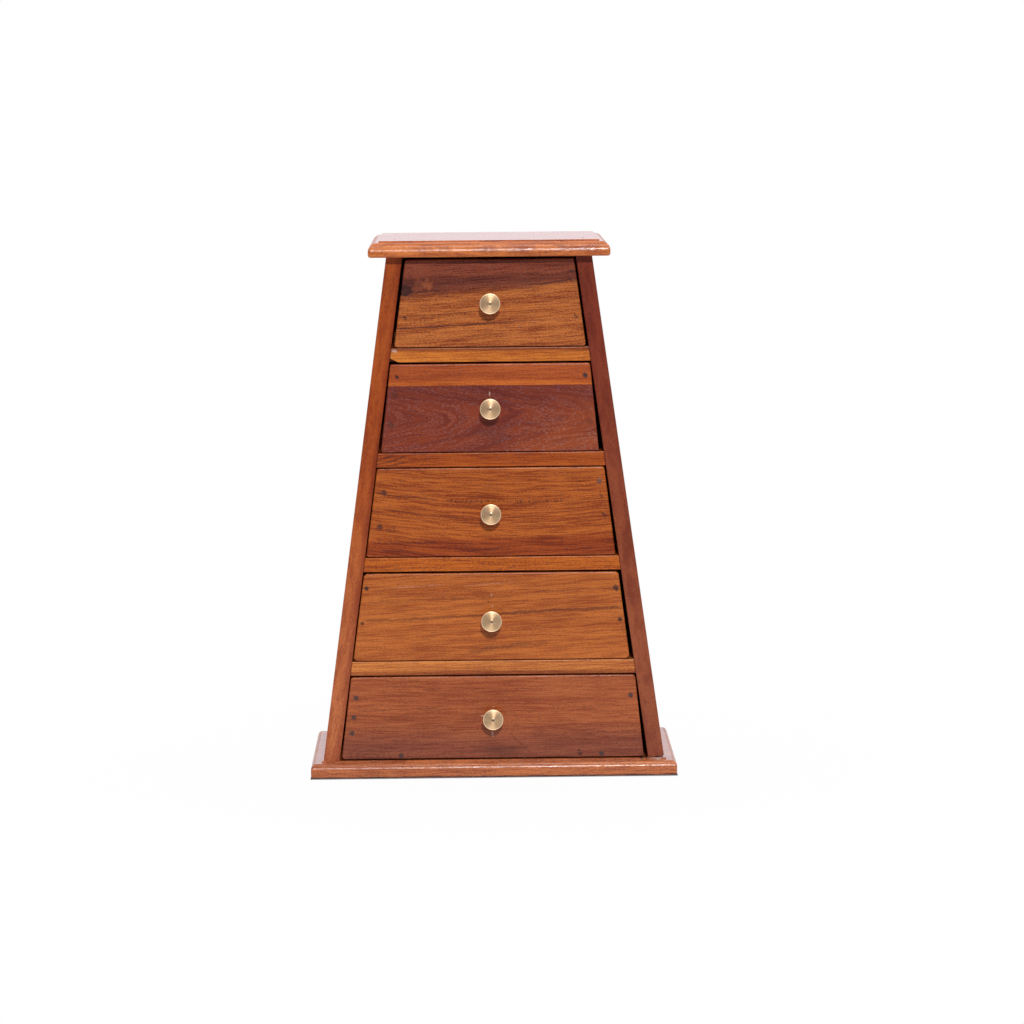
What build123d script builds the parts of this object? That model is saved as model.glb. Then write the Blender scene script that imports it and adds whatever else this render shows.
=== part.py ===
from build123d import *
import os
from math import hypot
from typing import NamedTuple

# Tapered desk chest of drawers in varnished hardwood, with turned brass knobs.
# The case is two leaning side boards between a moulded base and a moulded top, with shelves
# between the sides and a thin back. Every drawer is a nailed box behind a tapered front.
# X runs to the right, Y from the front to the rear, Z up. Units are millimetres.
# The origin is at the centre of the base board's underside.

# Case
HEIGHT = 400.0  # floor to the top board's upper face
CASE_DEPTH = 134.0  # front edges to rear edges of the side boards
FOOT_WIDTH = 255.0  # outside of the sides where they stand on the base
HEAD_WIDTH = 152.0  # outside of the sides under the top board
SIDE_T = 12.0
BASE_T = 12.0
TOP_T = 12.0
SHELF_T = 10.5
BACK_T = 6.0
BASE_OVERHANG = 9.3
TOP_OVERHANG = 13.2
DRAWER_COUNT = 5
LOWEST_BAY = 64.0  # clear height of the bottom bay, the other bays share the rest

# Moulding round the base and top boards, and eased edges
FIELD_STEP = 1.2  # raised field above the rounded margin
FIELD_INSET = 8.0  # raised field's edge from the board's own edge
TOP_ROUND_R = 7.0  # upper edge of the top board
TOP_EASE = 2.0  # lower edge of the top board
BASE_ROUND_R = 4.5
BOARD_EASE = 0.8  # lower edge of the base board and long edges of the sides
PLAN_CORNER_R = 2.5
RIGHT_FOOT_LIFT = 1.4  # the right side's foot is cut off square, open at its outer edge
SHELF_EASE = 0.6
CHIP_WIDTH = 7.0  # broken lower left corner of the top shelf's front edge
CHIP_HEIGHT = 3.6
CHIP_DEPTH = 9.0
ROUND_LIMIT = 0.8  # a rounding takes at most this share of its wall

# Drawers
FRONT_T = 12.0
FRONT_EASE = 1.0
FRONT_BOTTOM_GAP = 0.6
BOX_SIDE_T = 10.0
BOX_BACK_T = 10.0
FLOOR_T = 6.0
BOX_INSET = 0.3  # box sides lie this far inside the front's own edges
BOX_DROP = 6.0  # box sides stop this far below the front's upper edge
RUN_GAP = 0.3  # drawer floor above the shelf that it slides on
REAR_GAP = 1.0
STRIP_HEIGHT = 16.0  # upper strip of a front that is glued up from two boards

# Knob and its screw
KNOB_R = 7.6
KNOB_LENGTH = 15.0
KNOB_FOOT_R = 5.0
KNOB_FOOT_T = 1.4
KNOB_NECK_R = 3.7
KNOB_HEAD_T = 5.6
KNOB_RIM_T = 1.8
KNOB_RIM_R = 0.6
KNOB_FLARE = 0.6  # rise of the waist's curve against its run, where it leaves the foot and the rim
KNOB_CONE = 1.3  # how far the turned face rises from its rim to its centre
KNOB_DIMPLE_R = 0.8
KNOB_DIMPLE_DEPTH = 0.7
SCREW_R = 2.0
SCREW_GRIP = 8.0  # thread held in the knob
SCREW_HEAD_R = 4.0
SCREW_HEAD_T = 2.6
SCREW_HEAD_ROUND = 1.3
SCREW_HOLE_EASE = 0.2
DRIVE_SLOT_WIDTH = 1.1
DRIVE_SLOT_DEPTH = 1.0

# Nails and wood screws
NAIL_R = 0.8
NAIL_HEAD_R = 1.3
NAIL_HEAD_T = 1.0
NAIL_SET = 0.2  # heads lie this far under the surface
FRONT_NAIL_LENGTH = 28.0
CASE_NAIL_LENGTH = 30.0
BACK_NAIL_LENGTH = 18.0
BOX_NAIL_LENGTH = 22.0
BASE_SCREW_R = 1.8
BASE_SCREW_HEAD_R = 3.6
BASE_SCREW_HEAD_T = 2.4
BASE_SCREW_LENGTH = 34.0
BASE_SCREW_POINT = 5.0
BASE_SCREW_TIP_R = 0.4
FIT = 0.05  # ease all round a fastener in its hole
CUT_OVER = 2.0  # how far a cutting tool runs past a face
CASE_NAIL_EDGE = 24.0  # case fasteners' distance from the case's front and rear
BACK_NAIL_EDGE = 14.0
NAIL_SPACING = 10.0  # between nails that come from different faces
FLOOR_NAIL_LEFT = 69.0  # nails through the lowest front into its floor, from the front's middle
FLOOR_NAIL_RIGHT = 65.0
FLOOR_NAIL_FAR_RIGHT = 81.0


class Drawer(NamedTuple):
    """One handmade drawer: its gaps in the bay, its corners and where its front is nailed."""

    top_gap: float
    left_top: float  # gap beside the front at the bay's ceiling
    left_bottom: float  # gap beside the front at the bay's floor
    right_top: float
    right_bottom: float
    corner_r: float
    left_line: float  # nail row's place across the box side's thickness, 0 is its outer face
    left_nails: tuple  # nails' places up the box side's height, 0 to 1
    right_line: float
    right_nails: tuple
    floor_nails: tuple = ()  # nails into the floor's front edge, from the front's middle
    knob_drop: float = 0.0  # knob below the front's middle
    strip: bool = False  # front glued up from a board and an upper strip


FLOOR_NAILS = (-FLOOR_NAIL_LEFT, FLOOR_NAIL_RIGHT, FLOOR_NAIL_FAR_RIGHT)
DRAWERS = (
    Drawer(2.0, 2.2, 2.2, 1.5, 2.0, 1.8, 0.49, (0.30, 0.89), 0.42, (0.30, 0.82)),
    Drawer(1.5, 0.8, 2.2, 0.8, 3.6, 1.5, 0.57, (0.26, 0.68, 0.94), 0.42, (0.30, 0.94), strip=True),
    Drawer(0.8, 0.7, 0.9, 1.4, 2.4, 1.8, 0.72, (0.31, 0.78), 0.47, (0.45, 0.70, 0.91), knob_drop=0.6),
    Drawer(1.5, 0.8, 0.9, 2.2, 3.0, 3.0, 0.29, (0.42, 0.91), 0.31, (0.44, 0.88), knob_drop=2.2),
    Drawer(1.1, 0.7, 1.5, 0.8, 3.0, 2.4, 0.52, (0.28, 0.52, 0.81), 0.47, (0.28, 0.81), FLOOR_NAILS),
)

# Levels and places worked out from the sizes above
FRONT_Y = -CASE_DEPTH / 2
REAR_Y = CASE_DEPTH / 2
SHELF_REAR_Y = REAR_Y - BACK_T
DRAWER_REAR_Y = SHELF_REAR_Y - REAR_GAP
FRONT_BACK_Y = FRONT_Y + FRONT_T
CASE_TOP = HEIGHT - TOP_T
CASE_HEIGHT = CASE_TOP - BASE_T
LEAN = (FOOT_WIDTH - HEAD_WIDTH) / 2 / CASE_HEIGHT  # sideways run for each unit of height
SIDE_RUN = SIDE_T * hypot(1, LEAN)  # a leaning side's width along X
UPPER_BAYS = DRAWER_COUNT - 1
UPPER_BAY = (CASE_HEIGHT - LOWEST_BAY - UPPER_BAYS * SHELF_T) / UPPER_BAYS
FACE_UP = (Align.CENTER, Align.CENTER, Align.MIN)
NUMBERS = range(1, DRAWER_COUNT + 1)  # drawer 1 is the top one
ENDS = (FRONT_Y + CASE_NAIL_EDGE, SHELF_REAR_Y - CASE_NAIL_EDGE)
HANDS = (-1, 1)  # left and right


def outer_half(z):
    """Half the case's outside width at height z."""
    return FOOT_WIDTH / 2 - LEAN * (z - BASE_T)


def inner_half(z):
    """Half the case's inside width at height z."""
    return outer_half(z) - SIDE_RUN


def bay_floor(number):
    """Height of the shelf or base that a drawer slides on."""
    above_lowest = DRAWER_COUNT - number
    if above_lowest == 0:
        return BASE_T
    return BASE_T + LOWEST_BAY + SHELF_T + (above_lowest - 1) * (UPPER_BAY + SHELF_T)


def bay_ceiling(number):
    """Height of the shelf or top board over a drawer."""
    return bay_floor(number) + (LOWEST_BAY if number == DRAWER_COUNT else UPPER_BAY)


def upright_face(y, low, high, left, right, corner_r=0):
    """A four-sided face across the case at y, between two heights; left and right give X by height."""
    with BuildSketch(Plane.XZ.offset(-y)) as face:
        with BuildLine():
            Polyline(
                (left(low), low),
                (right(low), low),
                (right(high), high),
                (left(high), high),
                close=True,
            )
        make_face()
        if corner_r:
            fillet(face.vertices(), corner_r)
    return face.sketch


def save(piece, name):
    """Labels a finished piece and writes it."""
    piece.part.label = name
    export_step(piece.part, f"parts/{name}.step")


# Fasteners: each spot is a plane on the head's outer face, with Z pointing into the wood


def nails(spots, length):
    """Flat-headed nails at the spots."""
    with BuildPart() as pins:
        with Locations(*spots):
            Cylinder(NAIL_HEAD_R, NAIL_HEAD_T, align=FACE_UP)
            Cylinder(NAIL_R, length, align=FACE_UP)
    return pins


def nail_holes(spots, length):
    """The holes that those nails fill, open to the surface above the heads."""
    mouths = [spot.offset(-CUT_OVER) for spot in spots]
    with BuildPart(mode=Mode.PRIVATE) as holes:
        with Locations(*mouths):
            Cylinder(NAIL_HEAD_R + FIT, CUT_OVER + NAIL_HEAD_T + FIT, align=FACE_UP)
            Cylinder(NAIL_R + FIT, CUT_OVER + length + FIT, align=FACE_UP)
    return holes.part


def base_screw_profile(ease):
    """Half section of a countersunk wood screw in XZ, head face at Z 0."""
    with BuildSketch(Plane.XZ) as section:
        with BuildLine():
            Polyline(
                (0, 0),
                (BASE_SCREW_HEAD_R + ease, 0),
                (BASE_SCREW_R + ease, BASE_SCREW_HEAD_T + ease),
                (BASE_SCREW_R + ease, BASE_SCREW_LENGTH - BASE_SCREW_POINT),
                (BASE_SCREW_TIP_R + ease, BASE_SCREW_LENGTH + ease),
                (0, BASE_SCREW_LENGTH + ease),
                close=True,
            )
        make_face()
    return section.sketch


def base_screws(spots):
    """Countersunk wood screws with a driving slot across each head."""
    with BuildPart() as one:
        add(base_screw_profile(0))
        revolve(axis=Axis.Z)
        Box(
            2 * BASE_SCREW_HEAD_R,
            DRIVE_SLOT_WIDTH,
            DRIVE_SLOT_DEPTH,
            align=FACE_UP,
            mode=Mode.SUBTRACT,
        )
    with BuildPart() as screws:
        with Locations(*spots):
            add(one.part)
    return screws


def base_screw_holes(spots):
    """Countersunk holes for those screws, open below their heads."""
    with BuildPart(mode=Mode.PRIVATE) as one:
        add(base_screw_profile(FIT))
        revolve(axis=Axis.Z)
        with Locations((0, 0, -CUT_OVER)):
            Cylinder(BASE_SCREW_HEAD_R + FIT, CUT_OVER, align=FACE_UP)
    with BuildPart(mode=Mode.PRIVATE) as holes:
        with Locations(*spots):
            add(one.part)
    return holes.part


def side_spot(hand, y, z):
    """A nail driven level through a leaning side, its head just under the outer face."""
    x = outer_half(z + NAIL_HEAD_R) - NAIL_SET
    return Plane((hand * x, y, z), x_dir=(0, 1, 0), z_dir=(-hand, 0, 0))


def end_middle(z):
    """Distance from the middle of the case to the middle of a side board at height z."""
    return outer_half(z) - SIDE_RUN / 2


TOP_SPOTS = [
    Plane((hand * end_middle(CASE_TOP), y, HEIGHT - NAIL_SET), z_dir=(0, 0, -1))
    for hand in HANDS
    for y in ENDS
]
BASE_SPOTS = [
    Plane((hand * end_middle(BASE_T + BASE_SCREW_LENGTH / 2), y, NAIL_SET), z_dir=(0, 0, 1))
    for hand in HANDS
    for y in (ENDS[0], 0, ENDS[1])
]
SHELF_SPOTS = [
    side_spot(hand, y, bay_floor(number) - SHELF_T / 2)
    for number in NUMBERS[:-1]
    for hand in HANDS
    for y in ENDS
]
BACK_SPOTS = [
    Plane((share * (inner_half(z) - BACK_NAIL_EDGE), REAR_Y - NAIL_SET, z), z_dir=(0, -1, 0))
    for z in [bay_floor(number) - SHELF_T / 2 for number in NUMBERS[:-1]]
    for share in (-1, 0, 1)
]


# Case


def moulded_board(width, depth, thickness, level, round_r, ease, holes):
    """A board with a raised field, a small step and a quarter round on its four upper edges."""
    shoulder = thickness - FIELD_STEP
    upper_r = min(round_r, ROUND_LIMIT * shoulder, FIELD_INSET)
    lower_r = min(ease, ROUND_LIMIT * PLAN_CORNER_R, shoulder - upper_r)
    with BuildPart() as board:
        with BuildSketch(Plane.XY.offset(level)):
            Rectangle(width, depth)
        extrude(amount=shoulder)
        fillet(board.faces().sort_by(Axis.Z)[-1].edges(), upper_r)
        with BuildSketch(Plane.XY.offset(level + shoulder)):
            Rectangle(width - 2 * FIELD_INSET, depth - 2 * FIELD_INSET)
        extrude(amount=FIELD_STEP)
        with BuildSketch(Plane.XY.offset(level)):
            RectangleRounded(width, depth, PLAN_CORNER_R)
        extrude(amount=thickness, mode=Mode.INTERSECT)
        fillet(board.faces().sort_by(Axis.Z)[0].edges(), lower_r)
        add(holes, mode=Mode.SUBTRACT)
    return board


def case_side(hand):
    """A leaning side board, its ends cut level to stand on the base and carry the top."""
    outer_foot = BASE_T + (RIGHT_FOOT_LIFT if hand > 0 else 0)
    with BuildPart() as side:
        with BuildSketch(Plane.XZ.offset(-FRONT_Y)):
            with BuildLine():
                Polyline(
                    (hand * outer_half(outer_foot), outer_foot),
                    (hand * inner_half(BASE_T), BASE_T),
                    (hand * inner_half(CASE_TOP), CASE_TOP),
                    (hand * outer_half(CASE_TOP), CASE_TOP),
                    close=True,
                )
            make_face()
        extrude(amount=-CASE_DEPTH)
        front_face = side.faces().sort_by(Axis.Y)[0]
        long_edges = front_face.edges().sort_by(Edge.length)[-2:]
        fillet(long_edges, BOARD_EASE)
        add(nail_holes(TOP_SPOTS, CASE_NAIL_LENGTH), mode=Mode.SUBTRACT)
        add(base_screw_holes(BASE_SPOTS), mode=Mode.SUBTRACT)
        add(nail_holes(SHELF_SPOTS, CASE_NAIL_LENGTH), mode=Mode.SUBTRACT)
    return side


def case_shelf(number):
    """The shelf under a drawer, butted between the leaning sides."""
    high = bay_floor(number)
    low = high - SHELF_T
    with BuildPart() as shelf:
        face = upright_face(FRONT_Y, low, high, lambda z: -inner_half(z), inner_half)
        extrude(face, amount=FRONT_Y - SHELF_REAR_Y)
        front_face = shelf.faces().sort_by(Axis.Y)[0]
        fillet(front_face.edges().sort_by(Edge.length)[-2:], SHELF_EASE)
        add(nail_holes(SHELF_SPOTS, CASE_NAIL_LENGTH), mode=Mode.SUBTRACT)
        add(nail_holes(BACK_SPOTS, BACK_NAIL_LENGTH), mode=Mode.SUBTRACT)
        if number == 1:
            with BuildSketch(Plane.XZ.offset(-FRONT_Y)):
                with BuildLine():
                    Polyline(
                        (-inner_half(low) - CUT_OVER, low - CUT_OVER),
                        (-inner_half(low) + CHIP_WIDTH, low - CUT_OVER),
                        (-inner_half(low) + CHIP_WIDTH, low),
                        (-inner_half(low), low + CHIP_HEIGHT),
                        (-inner_half(low) - CUT_OVER, low + CHIP_HEIGHT),
                        close=True,
                    )
                make_face()
            extrude(amount=-CHIP_DEPTH, mode=Mode.SUBTRACT)
    return shelf


def case_back():
    """The thin back, set between the sides and nailed to the shelves."""
    with BuildPart() as back:
        face = upright_face(REAR_Y, BASE_T, CASE_TOP, lambda z: -inner_half(z), inner_half)
        extrude(face, amount=BACK_T)
        add(nail_holes(BACK_SPOTS, BACK_NAIL_LENGTH), mode=Mode.SUBTRACT)
    return back


# Drawers


class DrawerPlan:
    """Where one drawer's pieces lie, worked out from its bay and its gaps."""

    def __init__(self, number):
        self.drawer = DRAWERS[(number - 1) % len(DRAWERS)]
        self.floor = bay_floor(number)
        self.ceiling = bay_ceiling(number)
        self.low = self.floor + FRONT_BOTTOM_GAP
        self.high = self.ceiling - self.drawer.top_gap
        self.box_bottom = self.floor + RUN_GAP
        self.box_floor = self.box_bottom + FLOOR_T
        self.box_top = self.high - BOX_DROP
        self.knob_z = (self.low + self.high) / 2 - self.drawer.knob_drop
        self.knob_x = (self.edge(-1, self.knob_z) + self.edge(1, self.knob_z)) / 2

    def edge(self, hand, z):
        """X of the front's left or right edge at height z."""
        fit = self.drawer
        low_gap, high_gap = (
            (fit.left_bottom, fit.left_top) if hand < 0 else (fit.right_bottom, fit.right_top)
        )
        share = (z - self.floor) / (self.ceiling - self.floor)
        return hand * (inner_half(z) - low_gap - share * (high_gap - low_gap))

    def box_outside(self, hand, z):
        """X of the outer face of a box side at height z."""
        return self.edge(hand, z) - hand * BOX_INSET

    def box_inside(self, hand, z):
        """X of the inner face of a box side at height z."""
        return self.box_outside(hand, z) - hand * BOX_SIDE_T

    def front_spots(self):
        """Nails through the front into the box sides and the floor."""
        fit = self.drawer
        face = FRONT_Y + NAIL_SET
        spots = []
        for hand, line, rows in (
            (-1, fit.left_line, fit.left_nails),
            (1, fit.right_line, fit.right_nails),
        ):
            for share in rows:
                z = self.box_floor + share * (self.box_top - self.box_floor)
                spots.append((self.box_outside(hand, z) - hand * line * BOX_SIDE_T, z))
        floor_middle = (self.box_bottom + self.box_floor) / 2
        spots += [(self.knob_x + along, floor_middle) for along in fit.floor_nails]
        return [Plane((x, face, z), x_dir=(1, 0, 0), z_dir=(0, 1, 0)) for x, z in spots]

    def box_spots(self):
        """Nails through the box sides into the back, and through the floor into the sides."""
        quarter = (self.box_top - self.box_floor) / 4
        back_y = DRAWER_REAR_Y - BOX_BACK_T / 2
        spots = []
        for hand in HANDS:
            for z in (self.box_floor + quarter, self.box_top - quarter):
                outside = min(
                    abs(self.box_outside(hand, z - NAIL_HEAD_R)),
                    abs(self.box_outside(hand, z + NAIL_HEAD_R)),
                )
                face = (hand * (outside - NAIL_SET), back_y, z)
                spots.append(Plane(face, x_dir=(0, 1, 0), z_dir=(-hand, 0, 0)))
            up_middle = self.box_floor + BOX_NAIL_LENGTH / 2
            x = self.box_outside(hand, up_middle) - hand * BOX_SIDE_T / 2
            first_y = FRONT_Y + FRONT_NAIL_LENGTH + NAIL_SPACING
            for y in (first_y, back_y - NAIL_SPACING):
                spots.append(Plane((x, y, self.box_bottom + NAIL_SET), z_dir=(0, 0, 1)))
        return spots


def drawer_front(plan):
    """A tapered front with rounded corners and eased face edges."""
    with BuildPart() as front:
        face = upright_face(
            FRONT_Y,
            plan.low,
            plan.high,
            lambda z: plan.edge(-1, z),
            lambda z: plan.edge(1, z),
            plan.drawer.corner_r,
        )
        extrude(face, amount=-FRONT_T)
        ease = min(FRONT_EASE, ROUND_LIMIT * plan.drawer.corner_r)
        fillet(front.faces().sort_by(Axis.Y)[0].edges(), ease)
        with Locations(knob_plane(plan)):
            Hole(SCREW_R + SCREW_HOLE_EASE, FRONT_T)
        add(nail_holes(plan.front_spots(), FRONT_NAIL_LENGTH), mode=Mode.SUBTRACT)
    return front


def front_piece(whole, joint, keep):
    """The board or the strip of a glued-up front, on one side of the glue line."""
    with BuildPart() as piece:
        add(whole.part)
        split(bisect_by=Plane.XY.offset(joint), keep=keep)
    return piece


def box_side(plan, hand):
    """A leaning side of the drawer box, from the front to the drawer's rear."""
    with BuildPart() as side:
        face = upright_face(
            FRONT_BACK_Y,
            plan.box_floor,
            plan.box_top,
            lambda z: plan.box_outside(hand, z),
            lambda z: plan.box_inside(hand, z),
        )
        extrude(face, amount=FRONT_BACK_Y - DRAWER_REAR_Y)
        add(nail_holes(plan.front_spots(), FRONT_NAIL_LENGTH), mode=Mode.SUBTRACT)
        add(nail_holes(plan.box_spots(), BOX_NAIL_LENGTH), mode=Mode.SUBTRACT)
    return side


def box_back(plan):
    """The drawer's back, between its sides."""
    with BuildPart() as back:
        face = upright_face(
            DRAWER_REAR_Y,
            plan.box_floor,
            plan.box_top,
            lambda z: plan.box_inside(-1, z),
            lambda z: plan.box_inside(1, z),
        )
        extrude(face, amount=BOX_BACK_T)
        add(nail_holes(plan.box_spots(), BOX_NAIL_LENGTH), mode=Mode.SUBTRACT)
    return back


def box_bottom(plan):
    """The drawer's floor, under its sides and back and butted to the front."""
    with BuildPart() as bottom:
        face = upright_face(
            FRONT_BACK_Y,
            plan.box_bottom,
            plan.box_floor,
            lambda z: plan.box_outside(-1, z),
            lambda z: plan.box_outside(1, z),
        )
        extrude(face, amount=FRONT_BACK_Y - DRAWER_REAR_Y)
        add(nail_holes(plan.front_spots(), FRONT_NAIL_LENGTH), mode=Mode.SUBTRACT)
        add(nail_holes(plan.box_spots(), BOX_NAIL_LENGTH), mode=Mode.SUBTRACT)
    return bottom


def knob_plane(plan):
    """Plane on the front's face at the knob, with Z pointing out of the drawer."""
    return Plane((plan.knob_x, FRONT_Y, plan.knob_z), x_dir=(1, 0, 0), z_dir=(0, -1, 0))


def knob(plan):
    """A turned knob: foot, waisted neck and a wide head with a shallow cone and a centre dimple."""
    rim_face = KNOB_LENGTH - KNOB_CONE
    rim_back = rim_face - KNOB_RIM_T
    neck_top = KNOB_LENGTH - KNOB_CONE - KNOB_HEAD_T
    with BuildPart() as turned:
        with BuildSketch(Plane.XZ):
            with BuildLine():
                foot = Polyline((0, 0), (KNOB_FOOT_R, 0), (KNOB_FOOT_R, KNOB_FOOT_T))
                waist = Spline(
                    foot @ 1,
                    (KNOB_NECK_R, (KNOB_FOOT_T + neck_top) / 2),
                    (KNOB_R, rim_back),
                    tangents=((-1, KNOB_FLARE), (1, KNOB_FLARE)),
                )
                Polyline(
                    waist @ 1,
                    (KNOB_R, rim_face),
                    (KNOB_DIMPLE_R, KNOB_LENGTH),
                    (0, KNOB_LENGTH - KNOB_DIMPLE_DEPTH),
                    (0, 0),
                )
            make_face()
        revolve(axis=Axis.Z)
        rim = turned.edges().filter_by(GeomType.CIRCLE).group_by(SortBy.RADIUS)[-1]
        fillet(rim.sort_by(Axis.Z)[-1], min(KNOB_RIM_R, ROUND_LIMIT * KNOB_RIM_T))
        Cylinder(SCREW_R + FIT, SCREW_GRIP + FIT, align=FACE_UP, mode=Mode.SUBTRACT)
    with BuildPart() as placed:
        with Locations(knob_plane(plan)):
            add(turned.part)
    return placed


def knob_screw(plan):
    """A slotted pan-head screw from inside the drawer, through the front into the knob."""
    with BuildPart() as one:
        Cylinder(SCREW_HEAD_R, SCREW_HEAD_T, align=FACE_UP)
        outer_rim = one.edges().filter_by(GeomType.CIRCLE).sort_by(Axis.Z)[0]
        fillet(outer_rim, min(SCREW_HEAD_ROUND, ROUND_LIMIT * SCREW_HEAD_T))
        with Locations((0, 0, SCREW_HEAD_T)):
            Cylinder(SCREW_R, FRONT_T + SCREW_GRIP, align=FACE_UP)
        Box(2 * SCREW_HEAD_R, DRIVE_SLOT_WIDTH, DRIVE_SLOT_DEPTH, align=FACE_UP, mode=Mode.SUBTRACT)
    with BuildPart() as placed:
        with Locations(knob_plane(plan).offset(-FRONT_T - SCREW_HEAD_T)):
            add(one.part)
    return placed


# Build and write every piece

os.makedirs("parts", exist_ok=True)

save(
    moulded_board(
        FOOT_WIDTH + 2 * BASE_OVERHANG,
        CASE_DEPTH + 2 * BASE_OVERHANG,
        BASE_T,
        0,
        BASE_ROUND_R,
        BOARD_EASE,
        base_screw_holes(BASE_SPOTS),
    ),
    "base_board",
)
save(
    moulded_board(
        HEAD_WIDTH + 2 * TOP_OVERHANG,
        CASE_DEPTH + 2 * TOP_OVERHANG,
        TOP_T,
        CASE_TOP,
        TOP_ROUND_R,
        TOP_EASE,
        nail_holes(TOP_SPOTS, CASE_NAIL_LENGTH),
    ),
    "top_board",
)
save(case_side(-1), "left_side")
save(case_side(1), "right_side")
save(case_back(), "back_panel")
save(nails(TOP_SPOTS, CASE_NAIL_LENGTH), "top_nails")
save(base_screws(BASE_SPOTS), "base_screws")
save(nails(SHELF_SPOTS, CASE_NAIL_LENGTH), "shelf_nails")
save(nails(BACK_SPOTS, BACK_NAIL_LENGTH), "back_nails")

for number in NUMBERS[:-1]:
    save(case_shelf(number), f"shelf_{number}")

for number in NUMBERS:
    plan = DrawerPlan(number)
    name = f"drawer_{number}"
    front = drawer_front(plan)
    if plan.drawer.strip:
        glue_line = plan.high - STRIP_HEIGHT
        save(front_piece(front, glue_line, Keep.BOTTOM), f"{name}_front")
        save(front_piece(front, glue_line, Keep.TOP), f"{name}_front_strip")
    else:
        save(front, f"{name}_front")
    save(box_side(plan, -1), f"{name}_left_side")
    save(box_side(plan, 1), f"{name}_right_side")
    save(box_back(plan), f"{name}_back")
    save(box_bottom(plan), f"{name}_floor")
    save(knob(plan), f"{name}_knob")
    save(knob_screw(plan), f"{name}_knob_screw")
    save(nails(plan.front_spots(), FRONT_NAIL_LENGTH), f"{name}_front_nails")
    save(nails(plan.box_spots(), BOX_NAIL_LENGTH), f"{name}_box_nails")
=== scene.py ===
"""Dresses a small tapered chest of five drawers in varnished wood and turned brass, on a plain stage."""

import math
from functools import cache, partial, reduce
from typing import NamedTuple

import bmesh
import bpy
from bpy.props import FloatProperty, FloatVectorProperty, IntProperty, PointerProperty
from mathutils import Matrix, Vector


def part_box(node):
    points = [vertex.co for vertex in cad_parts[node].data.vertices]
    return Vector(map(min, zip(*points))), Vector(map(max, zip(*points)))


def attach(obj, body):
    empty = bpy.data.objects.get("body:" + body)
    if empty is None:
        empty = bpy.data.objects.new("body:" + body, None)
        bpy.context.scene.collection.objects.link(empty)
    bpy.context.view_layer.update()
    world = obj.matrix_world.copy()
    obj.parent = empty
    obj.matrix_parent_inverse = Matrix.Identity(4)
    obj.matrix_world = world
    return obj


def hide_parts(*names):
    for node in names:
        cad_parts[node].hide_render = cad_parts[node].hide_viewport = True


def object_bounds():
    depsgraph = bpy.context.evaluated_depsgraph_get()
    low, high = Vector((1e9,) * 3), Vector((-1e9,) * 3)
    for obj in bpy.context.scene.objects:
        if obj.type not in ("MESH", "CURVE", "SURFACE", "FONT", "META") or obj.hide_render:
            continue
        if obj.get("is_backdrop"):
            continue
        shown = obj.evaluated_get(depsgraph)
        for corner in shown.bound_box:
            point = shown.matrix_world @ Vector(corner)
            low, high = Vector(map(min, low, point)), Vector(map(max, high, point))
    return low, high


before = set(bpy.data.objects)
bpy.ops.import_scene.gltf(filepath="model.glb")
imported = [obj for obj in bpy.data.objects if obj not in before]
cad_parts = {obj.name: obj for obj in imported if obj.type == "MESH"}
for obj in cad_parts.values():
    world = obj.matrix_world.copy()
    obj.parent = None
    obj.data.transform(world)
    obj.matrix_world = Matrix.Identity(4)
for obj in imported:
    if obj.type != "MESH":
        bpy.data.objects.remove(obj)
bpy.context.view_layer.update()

bl_info = {
    "name": "Tapered Drawer Chest",
    "version": (1, 0, 0),
    "blender": (4, 5, 0),
    "location": "3D View > Sidebar > Drawer Chest",
    "description": "Dresses a small tapered chest of drawers in varnished wood and turned brass",
    "category": "Object",
}

MM = 0.001
DRAWERS = range(1, 6)  # drawer 1 is the top one
SHELVES = range(1, 5)
LEFT, RIGHT = -1, 1
FRONT_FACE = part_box("left_side")[0].y  # the plane of the case's front
TOP_SHELF, LOW_SHELF = (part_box(node)[0] for node in ("shelf_1", "shelf_4"))
# A side's run inwards for each unit of height
LEAN = (TOP_SHELF.x - LOW_SHELF.x) / (TOP_SHELF.z - LOW_SHELF.z)
LEAN_ANGLE = math.degrees(math.atan(LEAN))


# Settings that a user would change


def number(label, description, default, **kind):
    """A setting for a number of some kind."""
    return FloatProperty(name=label, description=description, default=default, **kind)


def numbers(label, description, default, **kind):
    """A setting for three numbers of some kind."""
    return FloatVectorProperty(name=label, description=description, default=default, **kind)


metres = partial(number, unit="LENGTH", min=0.0)
watts = partial(number, unit="POWER", min=0.0)
fraction = partial(number, subtype="FACTOR", min=0.0, max=1.0)
point = partial(numbers, subtype="TRANSLATION", unit="LENGTH")


def angle(label, description, degrees):
    """A setting for an angle."""
    return number(label, description, math.radians(degrees), subtype="ANGLE")


def tint(label, colour):
    """A setting for the colour of a board or finish."""
    return numbers(label, f"Main colour of the {label.lower()}", colour, subtype="COLOR", min=0.0, max=1.0)


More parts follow.
